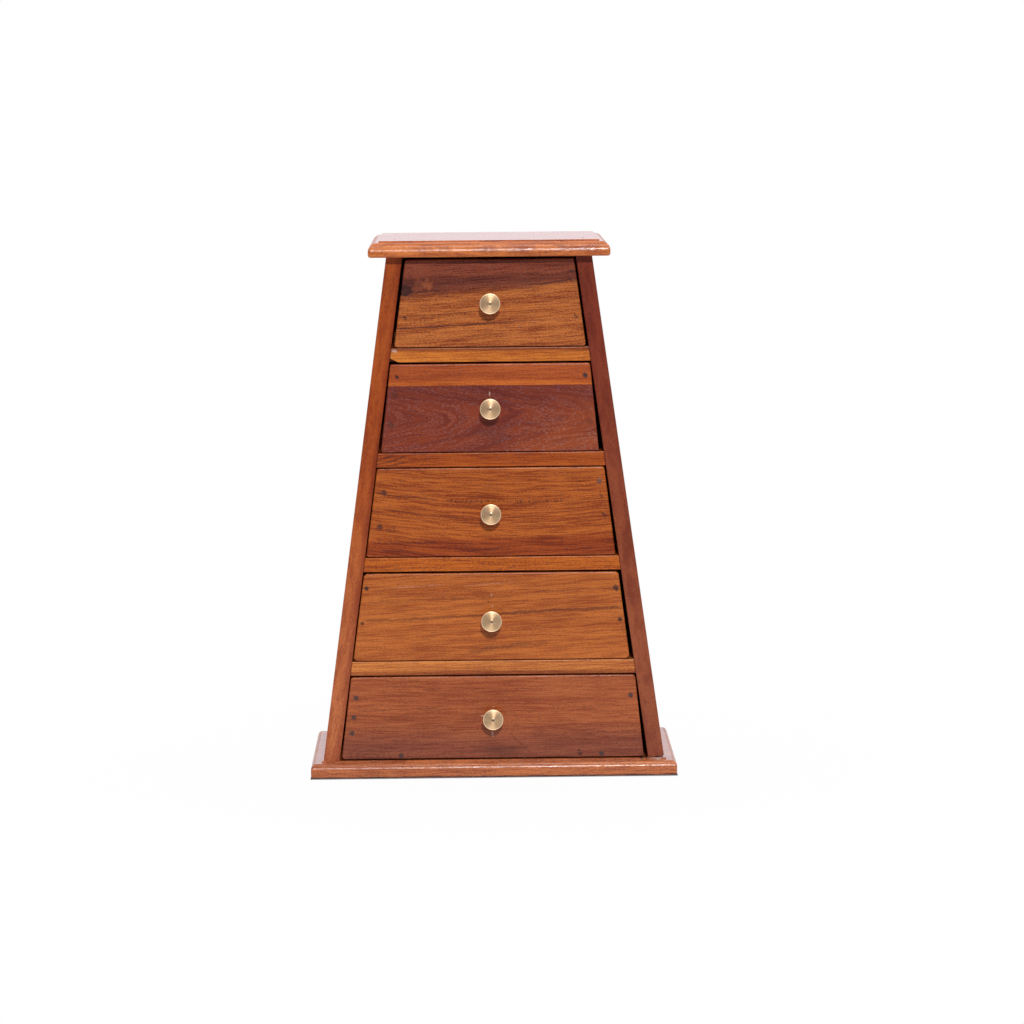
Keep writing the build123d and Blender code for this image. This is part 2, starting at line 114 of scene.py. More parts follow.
class StageSettings(bpy.types.PropertyGroup):
    """Camera, lamps and backdrop."""

    camera_place: point("Camera place", "Where the camera stands", (-0.01874, -2.91155, 0.52396))
    camera_turn: numbers(
        "Camera turn",
        "How the camera is turned",
        tuple(map(math.radians, (83.4618, 0.5257, -0.7437))),
        subtype="EULER",
        unit="ROTATION",
    )
    lens: number("Lens", "Focal length", 135.49, unit="CAMERA", min=1.0)
    sensor: number("Sensor", "Width of the camera's sensor", 36.0, unit="CAMERA", min=1.0)
    key_power: watts("Key power", "Front lamp", 210.0)
    key_size: metres("Key size", "Width of the front lamp", 0.3)
    key_distance: metres("Key distance", "From the chest to the front lamp", 6.0)
    key_elevation: angle("Key elevation", "Height of the front lamp as an angle", 26.0)
    key_side: angle("Key side", "How far the front lamp stands to the right, as an angle", 4.0)
    overhead_power: watts("Overhead power", "Lamp above", 6.0)
    overhead_size: metres("Overhead size", "Width of the lamp above", 0.5)
    overhead_place: point("Overhead place", "Where the lamp above hangs", (0.1, -0.55, 1.7))
    room_front: fraction("Room front", "Light level on the camera's side", 0.05)
    mirror_front: fraction("Mirror front", "The same level as varnish and metal mirror it", 0.30)
    mirror_card: fraction("Mirror card", "Mirrored level of the pale card behind the camera", 0.62)
    room_back: fraction("Room back", "Light level of the white backdrop", 1.0)
    room_tint: tint("Room", (0.96, 0.93, 1.0))
    floor_white: fraction("Floor white", "How far the floor is lifted to white where it is seen", 0.96)
    shadow_near: metres("Shadow near", "From the chest's middle to where the shadow starts to fade", 0.15)
    shadow_far: metres("Shadow far", "From the chest's middle to where it has faded out", 0.6)
    contact_reach: metres("Contact reach", "How far out the dark line round the foot reaches", 0.004)
    floor_front: metres("Floor front", "How far the floor reaches in front of the chest", 0.62)
    floor_reach: metres("Floor reach", "How far the floor reaches elsewhere", 2.5)


class WoodSettings(bpy.types.PropertyGroup):
    """Main colours of the boards and the varnish on them."""

    top_board: tint("Top board", (0.475, 0.109, 0.025))
    base_board: tint("Base board", (0.422, 0.104, 0.031))
    left_side: tint("Left side", (0.330, 0.056, 0.008))
    right_side: tint("Right side", (0.248, 0.053, 0.0205))
    back_panel: tint("Back panel", (0.33, 0.085, 0.030))
    shelf_1: tint("Shelf 1", (0.512, 0.130, 0.0195))
    shelf_2: tint("Shelf 2", (0.308, 0.051, 0.0065))
    shelf_3: tint("Shelf 3", (0.390, 0.077, 0.009))
    shelf_4: tint("Shelf 4", (0.478, 0.133, 0.030))
    drawer_1_front: tint("Drawer 1 front", (0.375, 0.087, 0.020))
    drawer_2_front: tint("Drawer 2 front", (0.184, 0.0275, 0.0125))
    drawer_2_front_strip: tint("Drawer 2 front strip", (0.370, 0.070, 0.0155))
    drawer_3_front: tint("Drawer 3 front", (0.338, 0.067, 0.011))
    drawer_4_front: tint("Drawer 4 front", (0.398, 0.093, 0.018))
    drawer_5_front: tint("Drawer 5 front", (0.326, 0.0715, 0.0212))
    drawer_box: tint("Drawer box boards", (0.46, 0.235, 0.105))
    drawer_floor: tint("Drawer floors", (0.52, 0.300, 0.150))
    gloss: fraction("Varnish roughness", "Roughness of the varnish film", 0.24)
    coat_gloss: fraction("Coat roughness", "Roughness of the clear coat on the mouldings", 0.08)
    ripple: metres("Varnish ripple", "Height of the hand finish's unevenness", 0.00005)


class BrassSettings(bpy.types.PropertyGroup):
    """The turned knobs."""

    colour: tint("Brass", (0.66, 0.450, 0.270))
    roughness: fraction("Groove roughness", "Roughness of most grooves", 0.60)
    shine: fraction("Ridge roughness", "Roughness of the bright ridges", 0.30)
    cone_rise: metres("Cone rise", "How far the turned face rises to its centre", 0.0018)
    rim_width: metres("Rim width", "Width of the rim", 0.0018)
    groove_pitch: metres("Groove pitch", "Distance between the tool's grooves", 0.00042)
    groove_depth: metres("Groove depth", "Depth of the tool's grooves", 0.000012)
    ring_radius: metres("Ring radius", "Radius of the scribed ring", 0.0047)
    sides: IntProperty(name="Sides", description="Steps round the knob", min=12, default=144)


class NailSettings(bpy.types.PropertyGroup):
    """The nails and screws."""

    iron: tint("Nail iron", (0.060, 0.045, 0.042))
    steel: tint("Screw steel", (0.50, 0.48, 0.45))


# Node wiring


class Wiring:
    """Adds nodes to a tree; an input is given as a value or as another node's output."""

    def __init__(self, tree):
        self.tree = tree

    def feed(self, socket, value):
        """Links a socket to an output, or sets its own value."""
        if isinstance(value, bpy.types.NodeSocket):
            self.tree.links.new(value, socket)
        else:
            socket.default_value = value

    def fill(self, node, inputs):
        """Feeds a node's inputs by their names or numbers."""
        for name, value in inputs.items():
            self.feed(node.inputs[name], value)

    def node(self, kind, **settings):
        """A new shader node with its settings."""
        node = self.tree.nodes.new(f"ShaderNode{kind}")
        for name, value in settings.items():
            setattr(node, name, value)
        return node

    def add(self, kind, inputs, **settings):
        """A new shader node with its inputs and settings; returns its outputs."""
        node = self.node(kind, **settings)
        self.fill(node, inputs)
        return node.outputs

    def group(self, tree, inputs):
        """A placed node group; returns its outputs."""
        return self.add("Group", inputs, node_tree=tree)

    def math(self, operation, *values):
        """The result of a sum on numbers."""
        return self.add("Math", dict(enumerate(values)), operation=operation)["Value"]

    def plus(self, first, second):
        """The sum of two numbers."""
        return self.math("ADD", first, second)

    def minus(self, first, second):
        """The difference of two numbers."""
        return self.math("SUBTRACT", first, second)

    def times(self, *values):
        """The product of numbers."""
        return reduce(partial(self.math, "MULTIPLY"), values)

    def vector(self, operation, *values):
        """The result of a sum on vectors."""
        result = "Value" if operation in ("LENGTH", "DOT_PRODUCT") else "Vector"
        return self.add("VectorMath", dict(enumerate(values)), operation=operation)[result]

    def split(self, vector):
        """The three parts of a vector."""
        return self.add("SeparateXYZ", {"Vector": vector})[:]

    def joined(self, *parts):
        """A vector from its parts."""
        return self.add("CombineXYZ", dict(enumerate(parts)))["Vector"]

    def stretched(self, parts, sizes):
        """A vector whose parts are each divided by a size, for a texture drawn out along the grain."""
        return self.joined(*(self.math("DIVIDE", part, size) for part, size in zip(parts, sizes)))

    def noise(self, vector, detail=1.0, roughness=0.5):
        """Smooth noise from 0 to 1 over a vector."""
        inputs = {"Vector": vector, "Scale": 1.0, "Detail": detail, "Roughness": roughness}
        return self.add("TexNoise", inputs)["Fac"]

    def patches(self, vector, size, **look):
        """Smooth noise with patches of a size."""
        return self.noise(self.vector("DIVIDE", vector, size), **look)

    def dots(self, vector, share, edge):
        """Dots in a share of the cells over a vector, each fading in between two distances."""
        cells = self.add("TexVoronoi", {"Vector": vector, "Scale": 1.0})
        present = self.math("LESS_THAN", self.split(cells["Color"])[0], share)
        return self.times(self.ease(cells["Distance"], *edge), present)

    def swing(self, value, amount):
        """A 0 to 1 value turned into one that swings by an amount to both sides of nought."""
        return self.times(self.minus(value, 0.5), 2.0, amount)

    def ease(self, value, low, high, start=0.0, end=1.0):
        """Goes smoothly from start to end as a value goes from low to high."""
        inputs = {"Value": value, "From Min": low, "From Max": high, "To Min": start, "To Max": end}
        return self.add("MapRange", inputs, interpolation_type="SMOOTHSTEP")["Result"]

    def mix(self, share, first, second, blend="MIX"):
        """Two colours mixed by a share."""
        node = self.node("Mix", data_type="RGBA", blend_type=blend)
        colours = [socket for socket in node.inputs if socket.type == "RGBA"]
        for socket, value in zip((node.inputs[0], *colours), (share, first, second)):
            self.feed(socket, value)
        return next(socket for socket in node.outputs if socket.type == "RGBA")

    def bump(self, height):
        """The normal of a surface with a height in metres."""
        return self.add("Bump", {"Height": height, "Distance": 1.0, "Strength": 1.0})["Normal"]

    def place(self):
        """A point's place in its piece's own coordinates."""
        return self.add("TexCoord", {})["Object"]


def rgba(colour):
    """A colour with full opacity."""
    return (*colour, 1.0)


WHITE = rgba((1.0, 1.0, 1.0))


def new_material(name):
    """A new material; returns it with its wiring and its shader."""
    material = bpy.data.materials.new(name)
    material.use_nodes = True
    return material, Wiring(material.node_tree), material.node_tree.nodes["Principled BSDF"]


def labelled(item, labels, unit=1.0):
    """A board's or mark's values under the labels of the sockets that they feed."""
    return {label: getattr(item, label.lower().replace(" ", "_")) * unit for label in labels}


def new_group(name, inputs, outputs):
    """A shader node group with sockets listed by kind; returns its wiring, its inputs and its outputs."""
    tree = bpy.data.node_groups.new(name, "ShaderNodeTree")
    for in_out, sockets in (("INPUT", inputs), ("OUTPUT", outputs)):
        for kind, labels in sockets.items():
            for label in labels:
                tree.interface.new_socket(label, in_out=in_out, socket_type=f"NodeSocket{kind}")
    given = tree.nodes.new("NodeGroupInput").outputs
    result = tree.nodes.new("NodeGroupOutput").inputs
    return Wiring(tree), given, result


# Effects that several materials share

# Sizes are in metres, first along the grain and then the two ways across it
# A range holds where it starts and ends and, where it has four values, what it gives there
GRAIN_PARTS = ("Bands", "Lines", "Fibre", "Pores")
GRAIN_SIZES = ("Waver", "Waver Length", "Band Width", "Line Width", "Pore Length", "Pore Width")
GRAIN_VALUES = ("Taper", "Bow", "Pore Share", "Seed")
SLOW_NARROWING = 0.4  # width of the grain's slow waver against its length
QUICK_WAVER = (0.016, 0.006, 0.006)
QUICK_SWING = 0.0006
BAND_STRETCH, LINE_STRETCH = 18.0, 26.0  # lengths of streaks against their widths
BAND_SPREAD, LINE_SPREAD, ROW_SPREAD = 0.37, 0.23, 0.31  # these set the boards' seeds apart
FIBRE_SIZE = (0.0015, 0.0007, 0.001)
ROW_STRETCH, ROW_WIDENING = 9.0, 2.6  # a row of pores against a pore
ROW_CROWDING = (0.38, 0.62, 0.1, 1.9)  # fewer pores between the rows, more in them
PORE_EDGE = (0.42, 0.22)  # from outside a pore to inside, in pore sizes


@cache
def board_grain():
    """Grain of sawn wood: streaks that follow the rings round the tree's pith, fibres and pores."""
    wires, given, result = new_group(
        "Board Grain",
        {"Vector": ("Vector", "Pith"), "Float": (*GRAIN_SIZES, *GRAIN_VALUES)},
        {"Float": GRAIN_PARTS},
    )
    seed, wave = given["Seed"], given["Waver Length"]
    place = wires.split(given["Vector"])
    along, depth, across = place
    level = wires.minus(across, wires.times(along, along, given["Bow"]))
    narrow_wave = wires.times(wave, SLOW_NARROWING)
    slow_place = wires.vector("ADD", wires.stretched(place, (wave, narrow_wave, narrow_wave)), seed)
    slow = wires.swing(wires.noise(slow_place, detail=2.0, roughness=0.45), given["Waver"])
    quick_place = wires.vector("ADD", wires.stretched(place, QUICK_WAVER), seed)
    quick = wires.swing(wires.noise(quick_place), QUICK_SWING)
    _, pith_depth, pith_level = wires.split(given["Pith"])
    from_pith = wires.joined(0.0, wires.minus(depth, pith_depth), wires.minus(level, pith_level))
    drift = wires.plus(wires.times(along, given["Taper"]), wires.plus(slow, quick))
    ring = wires.plus(wires.vector("LENGTH", from_pith), drift)

    def streaks(length, width, spread):
        """Where streaks of a size lie along the rings."""
        return wires.stretched((along, ring, seed), (length, width, spread))

    band_width, line_width = given["Band Width"], given["Line Width"]
    bands = streaks(wires.times(band_width, BAND_STRETCH), band_width, BAND_SPREAD)
    lines = streaks(wires.times(line_width, LINE_STRETCH), line_width, LINE_SPREAD)
    fibre = wires.stretched((along, level, depth), FIBRE_SIZE)
    pore_length, pore_width = given["Pore Length"], given["Pore Width"]
    pores = wires.stretched((along, level, depth), (pore_length, pore_width, pore_width))
    row_length, row_width = wires.times(pore_length, ROW_STRETCH), wires.times(pore_width, ROW_WIDENING)
    rows = wires.noise(streaks(row_length, row_width, ROW_SPREAD))
    crowd = wires.times(wires.ease(rows, *ROW_CROWDING), given["Pore Share"])
    wires.feed(result["Bands"], wires.noise(bands, detail=2.0))
    wires.feed(result["Lines"], wires.noise(lines, detail=3.0, roughness=0.6))
    wires.feed(result["Fibre"], wires.noise(fibre, roughness=0.6))
    wires.feed(result["Pores"], wires.dots(pores, crowd, PORE_EDGE))
    return wires.tree


COLOUR_SHARES = ("Band Share", "Line Share", "Fibre Share", "Pore Strength")
BAND_RANGE, LINE_RANGE = (0.28, 0.72), (0.30, 0.66)  # from a fully dark to a fully light streak


@cache
def board_colour():
    """Colour of a board from its grain: dark to light streaks with pores laid over them."""
    wires, given, result = new_group(
        "Board Colour",
        {"Float": (*GRAIN_PARTS, *COLOUR_SHARES), "Color": ("Dark", "Light", "Pore Color")},
        {"Color": ("Color",)},
    )
    bands = wires.swing(wires.ease(given["Bands"], *BAND_RANGE), given["Band Share"])
    lines = wires.swing(wires.ease(given["Lines"], *LINE_RANGE), given["Line Share"])
    fibre = wires.swing(given["Fibre"], given["Fibre Share"])
    tone = wires.ease(wires.plus(bands, wires.plus(lines, fibre)), -1.0, 1.0)
    wood = wires.mix(tone, given["Dark"], given["Light"])
    pores = wires.times(given["Pores"], given["Pore Strength"])
    wires.feed(result["Color"], wires.mix(pores, wood, given["Pore Color"]))
    return wires.tree


def new_mark(name, ink, vectors, values):
    """A node group that lays a mark in an ink over a colour; returns its wiring, inputs and outputs."""
    inputs = {"Color": ("Color", ink), "Vector": ("Vector", *vectors), "Float": (*values, "Strength")}
    return new_group(name, inputs, {"Color": ("Color",)})


EDGE_LUMPS = (1.6, 1.6, 1.6)  # lumps of a spot's edge in its half size


@cache
def spot_mark():
    """A ragged spot laid over a colour, such as a knot or the mark round a nail; it also draws painted
    shadows and a painted highlight.
    """
    wires, given, result = new_mark(
        "Spot Mark", "Stain", ("Centre", "Half Size"), ("Softness", "Ragged", "Rings")
    )
    from_centre = wires.vector("SUBTRACT", given["Vector"], given["Centre"])
    offset = wires.vector("DIVIDE", from_centre, given["Half Size"])
    rough_edge = wires.noise(wires.vector("MULTIPLY", offset, EDGE_LUMPS), detail=2.0)
    distance = wires.plus(wires.vector("LENGTH", offset), wires.swing(rough_edge, given["Ragged"]))
    inside = wires.ease(distance, wires.minus(1.0, given["Softness"]), 1.0, 1.0, 0.0)
    turns = wires.times(distance, given["Rings"], math.tau)
    ringed = wires.math("MULTIPLY_ADD", wires.math("COSINE", turns), 0.5, 0.5)
    shown = wires.times(inside, ringed, given["Strength"])
    wires.feed(result["Color"], wires.mix(shown, given["Color"], given["Stain"]))
    return wires.tree


WANDER_SIZE, SWELL_SIZE, TICK_SIZE = (0.007, 0.013, 1.0), (0.016, 0.011, 1.0), (0.0016, 0.009, 1.0)
WANDER_LAYER, SWELL_LAYER, TICK_LAYER = 0.0, 1.0, 2.0  # these keep a line's noises apart
SWELL_RANGE = (0.3, 0.7, 0.45, 1.2)
TICK_RANGE = (0.42, 0.58)
LINE_CORE = 0.25  # share of a line's width that has its full ink
LINE_STARTS, LINE_ENDS = (0.0, 0.08), (0.92, 1.0, 1.0, 0.0)
SAG_SCALE = 4.0  # makes the sag the drop in the middle of a line


@cache
def line_mark():
    """One dark or pale line along the grain, drawn over a colour from start to end with a sag between; it
    also draws painted lines of shade.
    """
    wires, given, result = new_mark("Line Mark", "Ink", ("Start", "End"), ("Sag", "Width", "Breaks"))
    x, _, z = wires.split(given["Vector"])
    start_x, _, start_z = wires.split(given["Start"])
    end_x, _, end_z = wires.split(given["End"])
    share = wires.math("DIVIDE", wires.minus(x, start_x), wires.minus(end_x, start_x))
    straight = wires.math("MULTIPLY_ADD", share, wires.minus(end_z, start_z), start_z)
    hang = wires.times(wires.times(share, wires.minus(1.0, share)), SAG_SCALE, given["Sag"])
    wander_place = wires.stretched((x, start_z, WANDER_LAYER), WANDER_SIZE)
    wander = wires.swing(wires.noise(wander_place, detail=2.0), given["Width"])
    distance = wires.math("ABSOLUTE", wires.minus(wires.minus(z, wires.minus(straight, hang)), wander))
    swell = wires.noise(wires.stretched((x, start_z, SWELL_LAYER), SWELL_SIZE))
    width = wires.times(wires.ease(swell, *SWELL_RANGE), given["Width"])
    inside = wires.ease(distance, wires.times(width, LINE_CORE), width, 1.0, 0.0)
    ends = wires.times(wires.ease(share, *LINE_STARTS), wires.ease(share, *LINE_ENDS))
    ticks = wires.noise(wires.stretched((x, start_z, TICK_LAYER), TICK_SIZE))
    kept = wires.minus(1.0, wires.times(wires.ease(ticks, *TICK_RANGE), given["Breaks"]))
    shown = wires.times(wires.times(inside, ends), wires.times(kept, given["Strength"]))
    wires.feed(result["Color"], wires.mix(shown, given["Color"], given["Ink"]))
    return wires.tree


CLOUD_SIZE = (0.024, 0.012, 0.009)


@cache
def colour_zone():
    """A darker or lighter part of a board beyond a ragged border, as between heartwood and sapwood; it also
    draws painted shade and painted highlights along edges.
    """
    wires, given, result = new_mark("Colour Zone", "Tint", ("Border", "Direction"), ("Softness", "Ragged"))
    offset = wires.vector("SUBTRACT", given["Vector"], given["Border"])
    beyond = wires.vector("DOT_PRODUCT", offset, given["Direction"])
    cloud = wires.patches(given["Vector"], CLOUD_SIZE, detail=3.0, roughness=0.6)
    ragged = wires.plus(beyond, wires.swing(cloud, given["Ragged"]))
    inside = wires.ease(ragged, wires.times(given["Softness"], -1.0), given["Softness"])
    shown = wires.times(inside, given["Strength"])
    wires.feed(result["Color"], wires.mix(shown, given["Color"], given["Tint"], "MULTIPLY"))
    return wires.tree


SPECK_SIZE = (0.0018, 0.0018, 0.0014)
SPECK_SHARE = 0.09
SPECK_EDGE = (0.26, 0.12)  # from outside a speck to inside, in speck sizes


@cache
def dust_specks():
    """Fine pale specks caught in the varnish."""
    wires, given, result = new_mark("Dust Specks", "Speck", (), ())
    spread = wires.vector("DIVIDE", given["Vector"], SPECK_SIZE)
    shown = wires.times(wires.dots(spread, SPECK_SHARE, SPECK_EDGE), given["Strength"])
    wires.feed(result["Color"], wires.mix(shown, given["Color"], given["Speck"]))
    return wires.tree


WIDE_RIPPLE, FINE_RIPPLE = (0.022, 0.012, 0.012), (0.0042, 0.0022, 0.0022)
FINE_SHARE = 0.45  # height of the fine ripple against the wide one
PORE_DEPTH, FIBRE_HEIGHT = 0.00002, 0.00001
PORE_DULLING = 0.10
DULL_PATCH = (0.030, 0.015, 0.015)
DULL_SWING = 0.08


@cache
def varnish_film():
    """Roughness and height of a hand-laid varnish film that sinks into the pores."""
    wires, given, result = new_group(
        "Varnish Film",
        {"Vector": ("Vector",), "Float": ("Pores", "Fibre", "Gloss", "Ripple")},
        {"Float": ("Roughness", "Height")},
    )
    wide = wires.swing(wires.patches(given["Vector"], WIDE_RIPPLE), 1.0)
    fine = wires.swing(wires.patches(given["Vector"], FINE_RIPPLE, detail=2.0), FINE_SHARE)
    ripple = wires.times(wires.plus(wide, fine), given["Ripple"])
    sunk = wires.minus(ripple, wires.times(given["Pores"], PORE_DEPTH))
    wires.feed(result["Height"], wires.plus(sunk, wires.times(given["Fibre"], FIBRE_HEIGHT)))
    dull = wires.math("MULTIPLY_ADD", given["Pores"], PORE_DULLING, given["Gloss"])
    patchy = wires.patches(given["Vector"], DULL_PATCH, detail=3.0)
    wires.feed(result["Roughness"], wires.plus(dull, wires.swing(patchy, DULL_SWING)))
    return wires.tree


# Marks on single boards, placed in millimetres across and up the chest's front

DARK_BROWN = (0.055, 0.014, 0.010)
SOOT = (0.022, 0.014, 0.012)
RUST = (0.125, 0.033, 0.012)
# Pale colour of scuffs, filler and dust specks, also used for one painted highlight on shelf 1's chipped end
PALE_SCUFF_AND_HIGHLIGHT = (0.56, 0.40, 0.33)
PALE_PORE = (0.34, 0.21, 0.22)
SPOT_DEPTH = 30.0  # how far a spot goes into its board


def on_front(across, up):
    """A point on the chest's front face."""
    return Vector((across * MM, FRONT_FACE, up * MM))


class Spot(NamedTuple):
    """A knot or stain; it also draws painted shadows below knobs and a painted highlight."""

    across: float
    up: float
    half_width: float
    half_height: float
    stain: tuple = DARK_BROWN
    strength: float = 0.8
    softness: float = 0.6
    ragged: float = 0.35
    rings: float = 0.0

    def look(self):
        """The spot's node group and what it is given."""
        return spot_mark(), {
            "Stain": rgba(self.stain),
            "Centre": on_front(self.across, self.up),
            "Half Size": Vector((self.half_width, SPOT_DEPTH, self.half_height)) * MM,
            **labelled(self, ("Softness", "Ragged", "Rings")),
        }


class Line(NamedTuple):
    """A line along the grain; it draws marks in the wood and also painted lines of shade."""

    start: tuple
    end: tuple
    width: float = 0.8
    sag: float = 0.0
    strength: float = 0.8
    breaks: float = 0.3
    ink: tuple = DARK_BROWN

    def look(self):
        """The line's node group and what it is given."""
        return line_mark(), {
            "Ink": rgba(self.ink),
            "Start": on_front(*self.start),
            "End": on_front(*self.end),
            "Breaks": self.breaks,
            **labelled(self, ("Sag", "Width"), MM),
        }


class Zone(NamedTuple):
    """A darker or lighter part of a board, beyond a border that rises to the right by an angle."""

    across: float
    up: float
    rise: float
    tint: tuple
    softness: float = 3.0
    ragged: float = 2.0
    strength: float = 1.0
    upward: bool = True

    def look(self):
        """The zone's node group and what it is given."""
        turn = math.radians(self.rise)
        direction = Vector((-math.sin(turn), 0.0, math.cos(turn)))
        return colour_zone(), {
            "Tint": rgba(self.tint),
            "Border": on_front(self.across, self.up),
            "Direction": direction if self.upward else -direction,
            **labelled(self, ("Softness", "Ragged"), MM),
        }


# Boards


class Board(NamedTuple):
    """How one board's wood runs and looks. Lengths are in millimetres."""

    along: tuple = (1.0, 0.0, 0.0)  # direction of the grain
    normal: tuple = (0.0, 1.0, 0.0)  # direction through the board
    pith: tuple = (40.0, -400.0)  # from the board's middle to the tree's heart: through and across
    taper: float = 0.0
    bow: float = 0.0  # curve of the grain, in units per metre
    bow_middle: float = 0.0
    waver: float = 1.5
    waver_length: float = 70.0
    band_width: float = 7.0
    line_width: float = 0.8
    contrast: float = 1.0
    band_share: float = 0.35
    line_share: float = 0.50
    fibre_share: float = 0.9
    dark_share: tuple = (0.60, 0.44, 0.42)  # dark streaks against the main colour
    light_share: tuple = (1.42, 1.80, 1.75)
    pore_length: float = 4.0
    pore_width: float = 0.6
    pore_share: float = 0.35
    pore_colour: tuple = (0.085, 0.020, 0.008)
    pore_strength: float = 0.5
    gloss: float = 1.0  # share of the varnish's roughness
    shine: float = 0.25  # strength of the varnish's reflection
    coat: float = 0.0  # clear coat on the level faces
    ripple: float = 1.0  # share of the varnish's ripple
    specks: float = 0.18
    seed: float = 0.0
    marks: tuple = ()


def sloped(degrees):
    """Direction of a grain that rises to the right on the chest's front."""
    turn = math.radians(degrees)
    return (math.cos(turn), 0.0, math.sin(turn))


def up_side(hand):
    """Directions along and through a leaning side."""
    return {"along": (-hand * LEAN, 0.0, 1.0), "normal": (hand, 0.0, LEAN)}


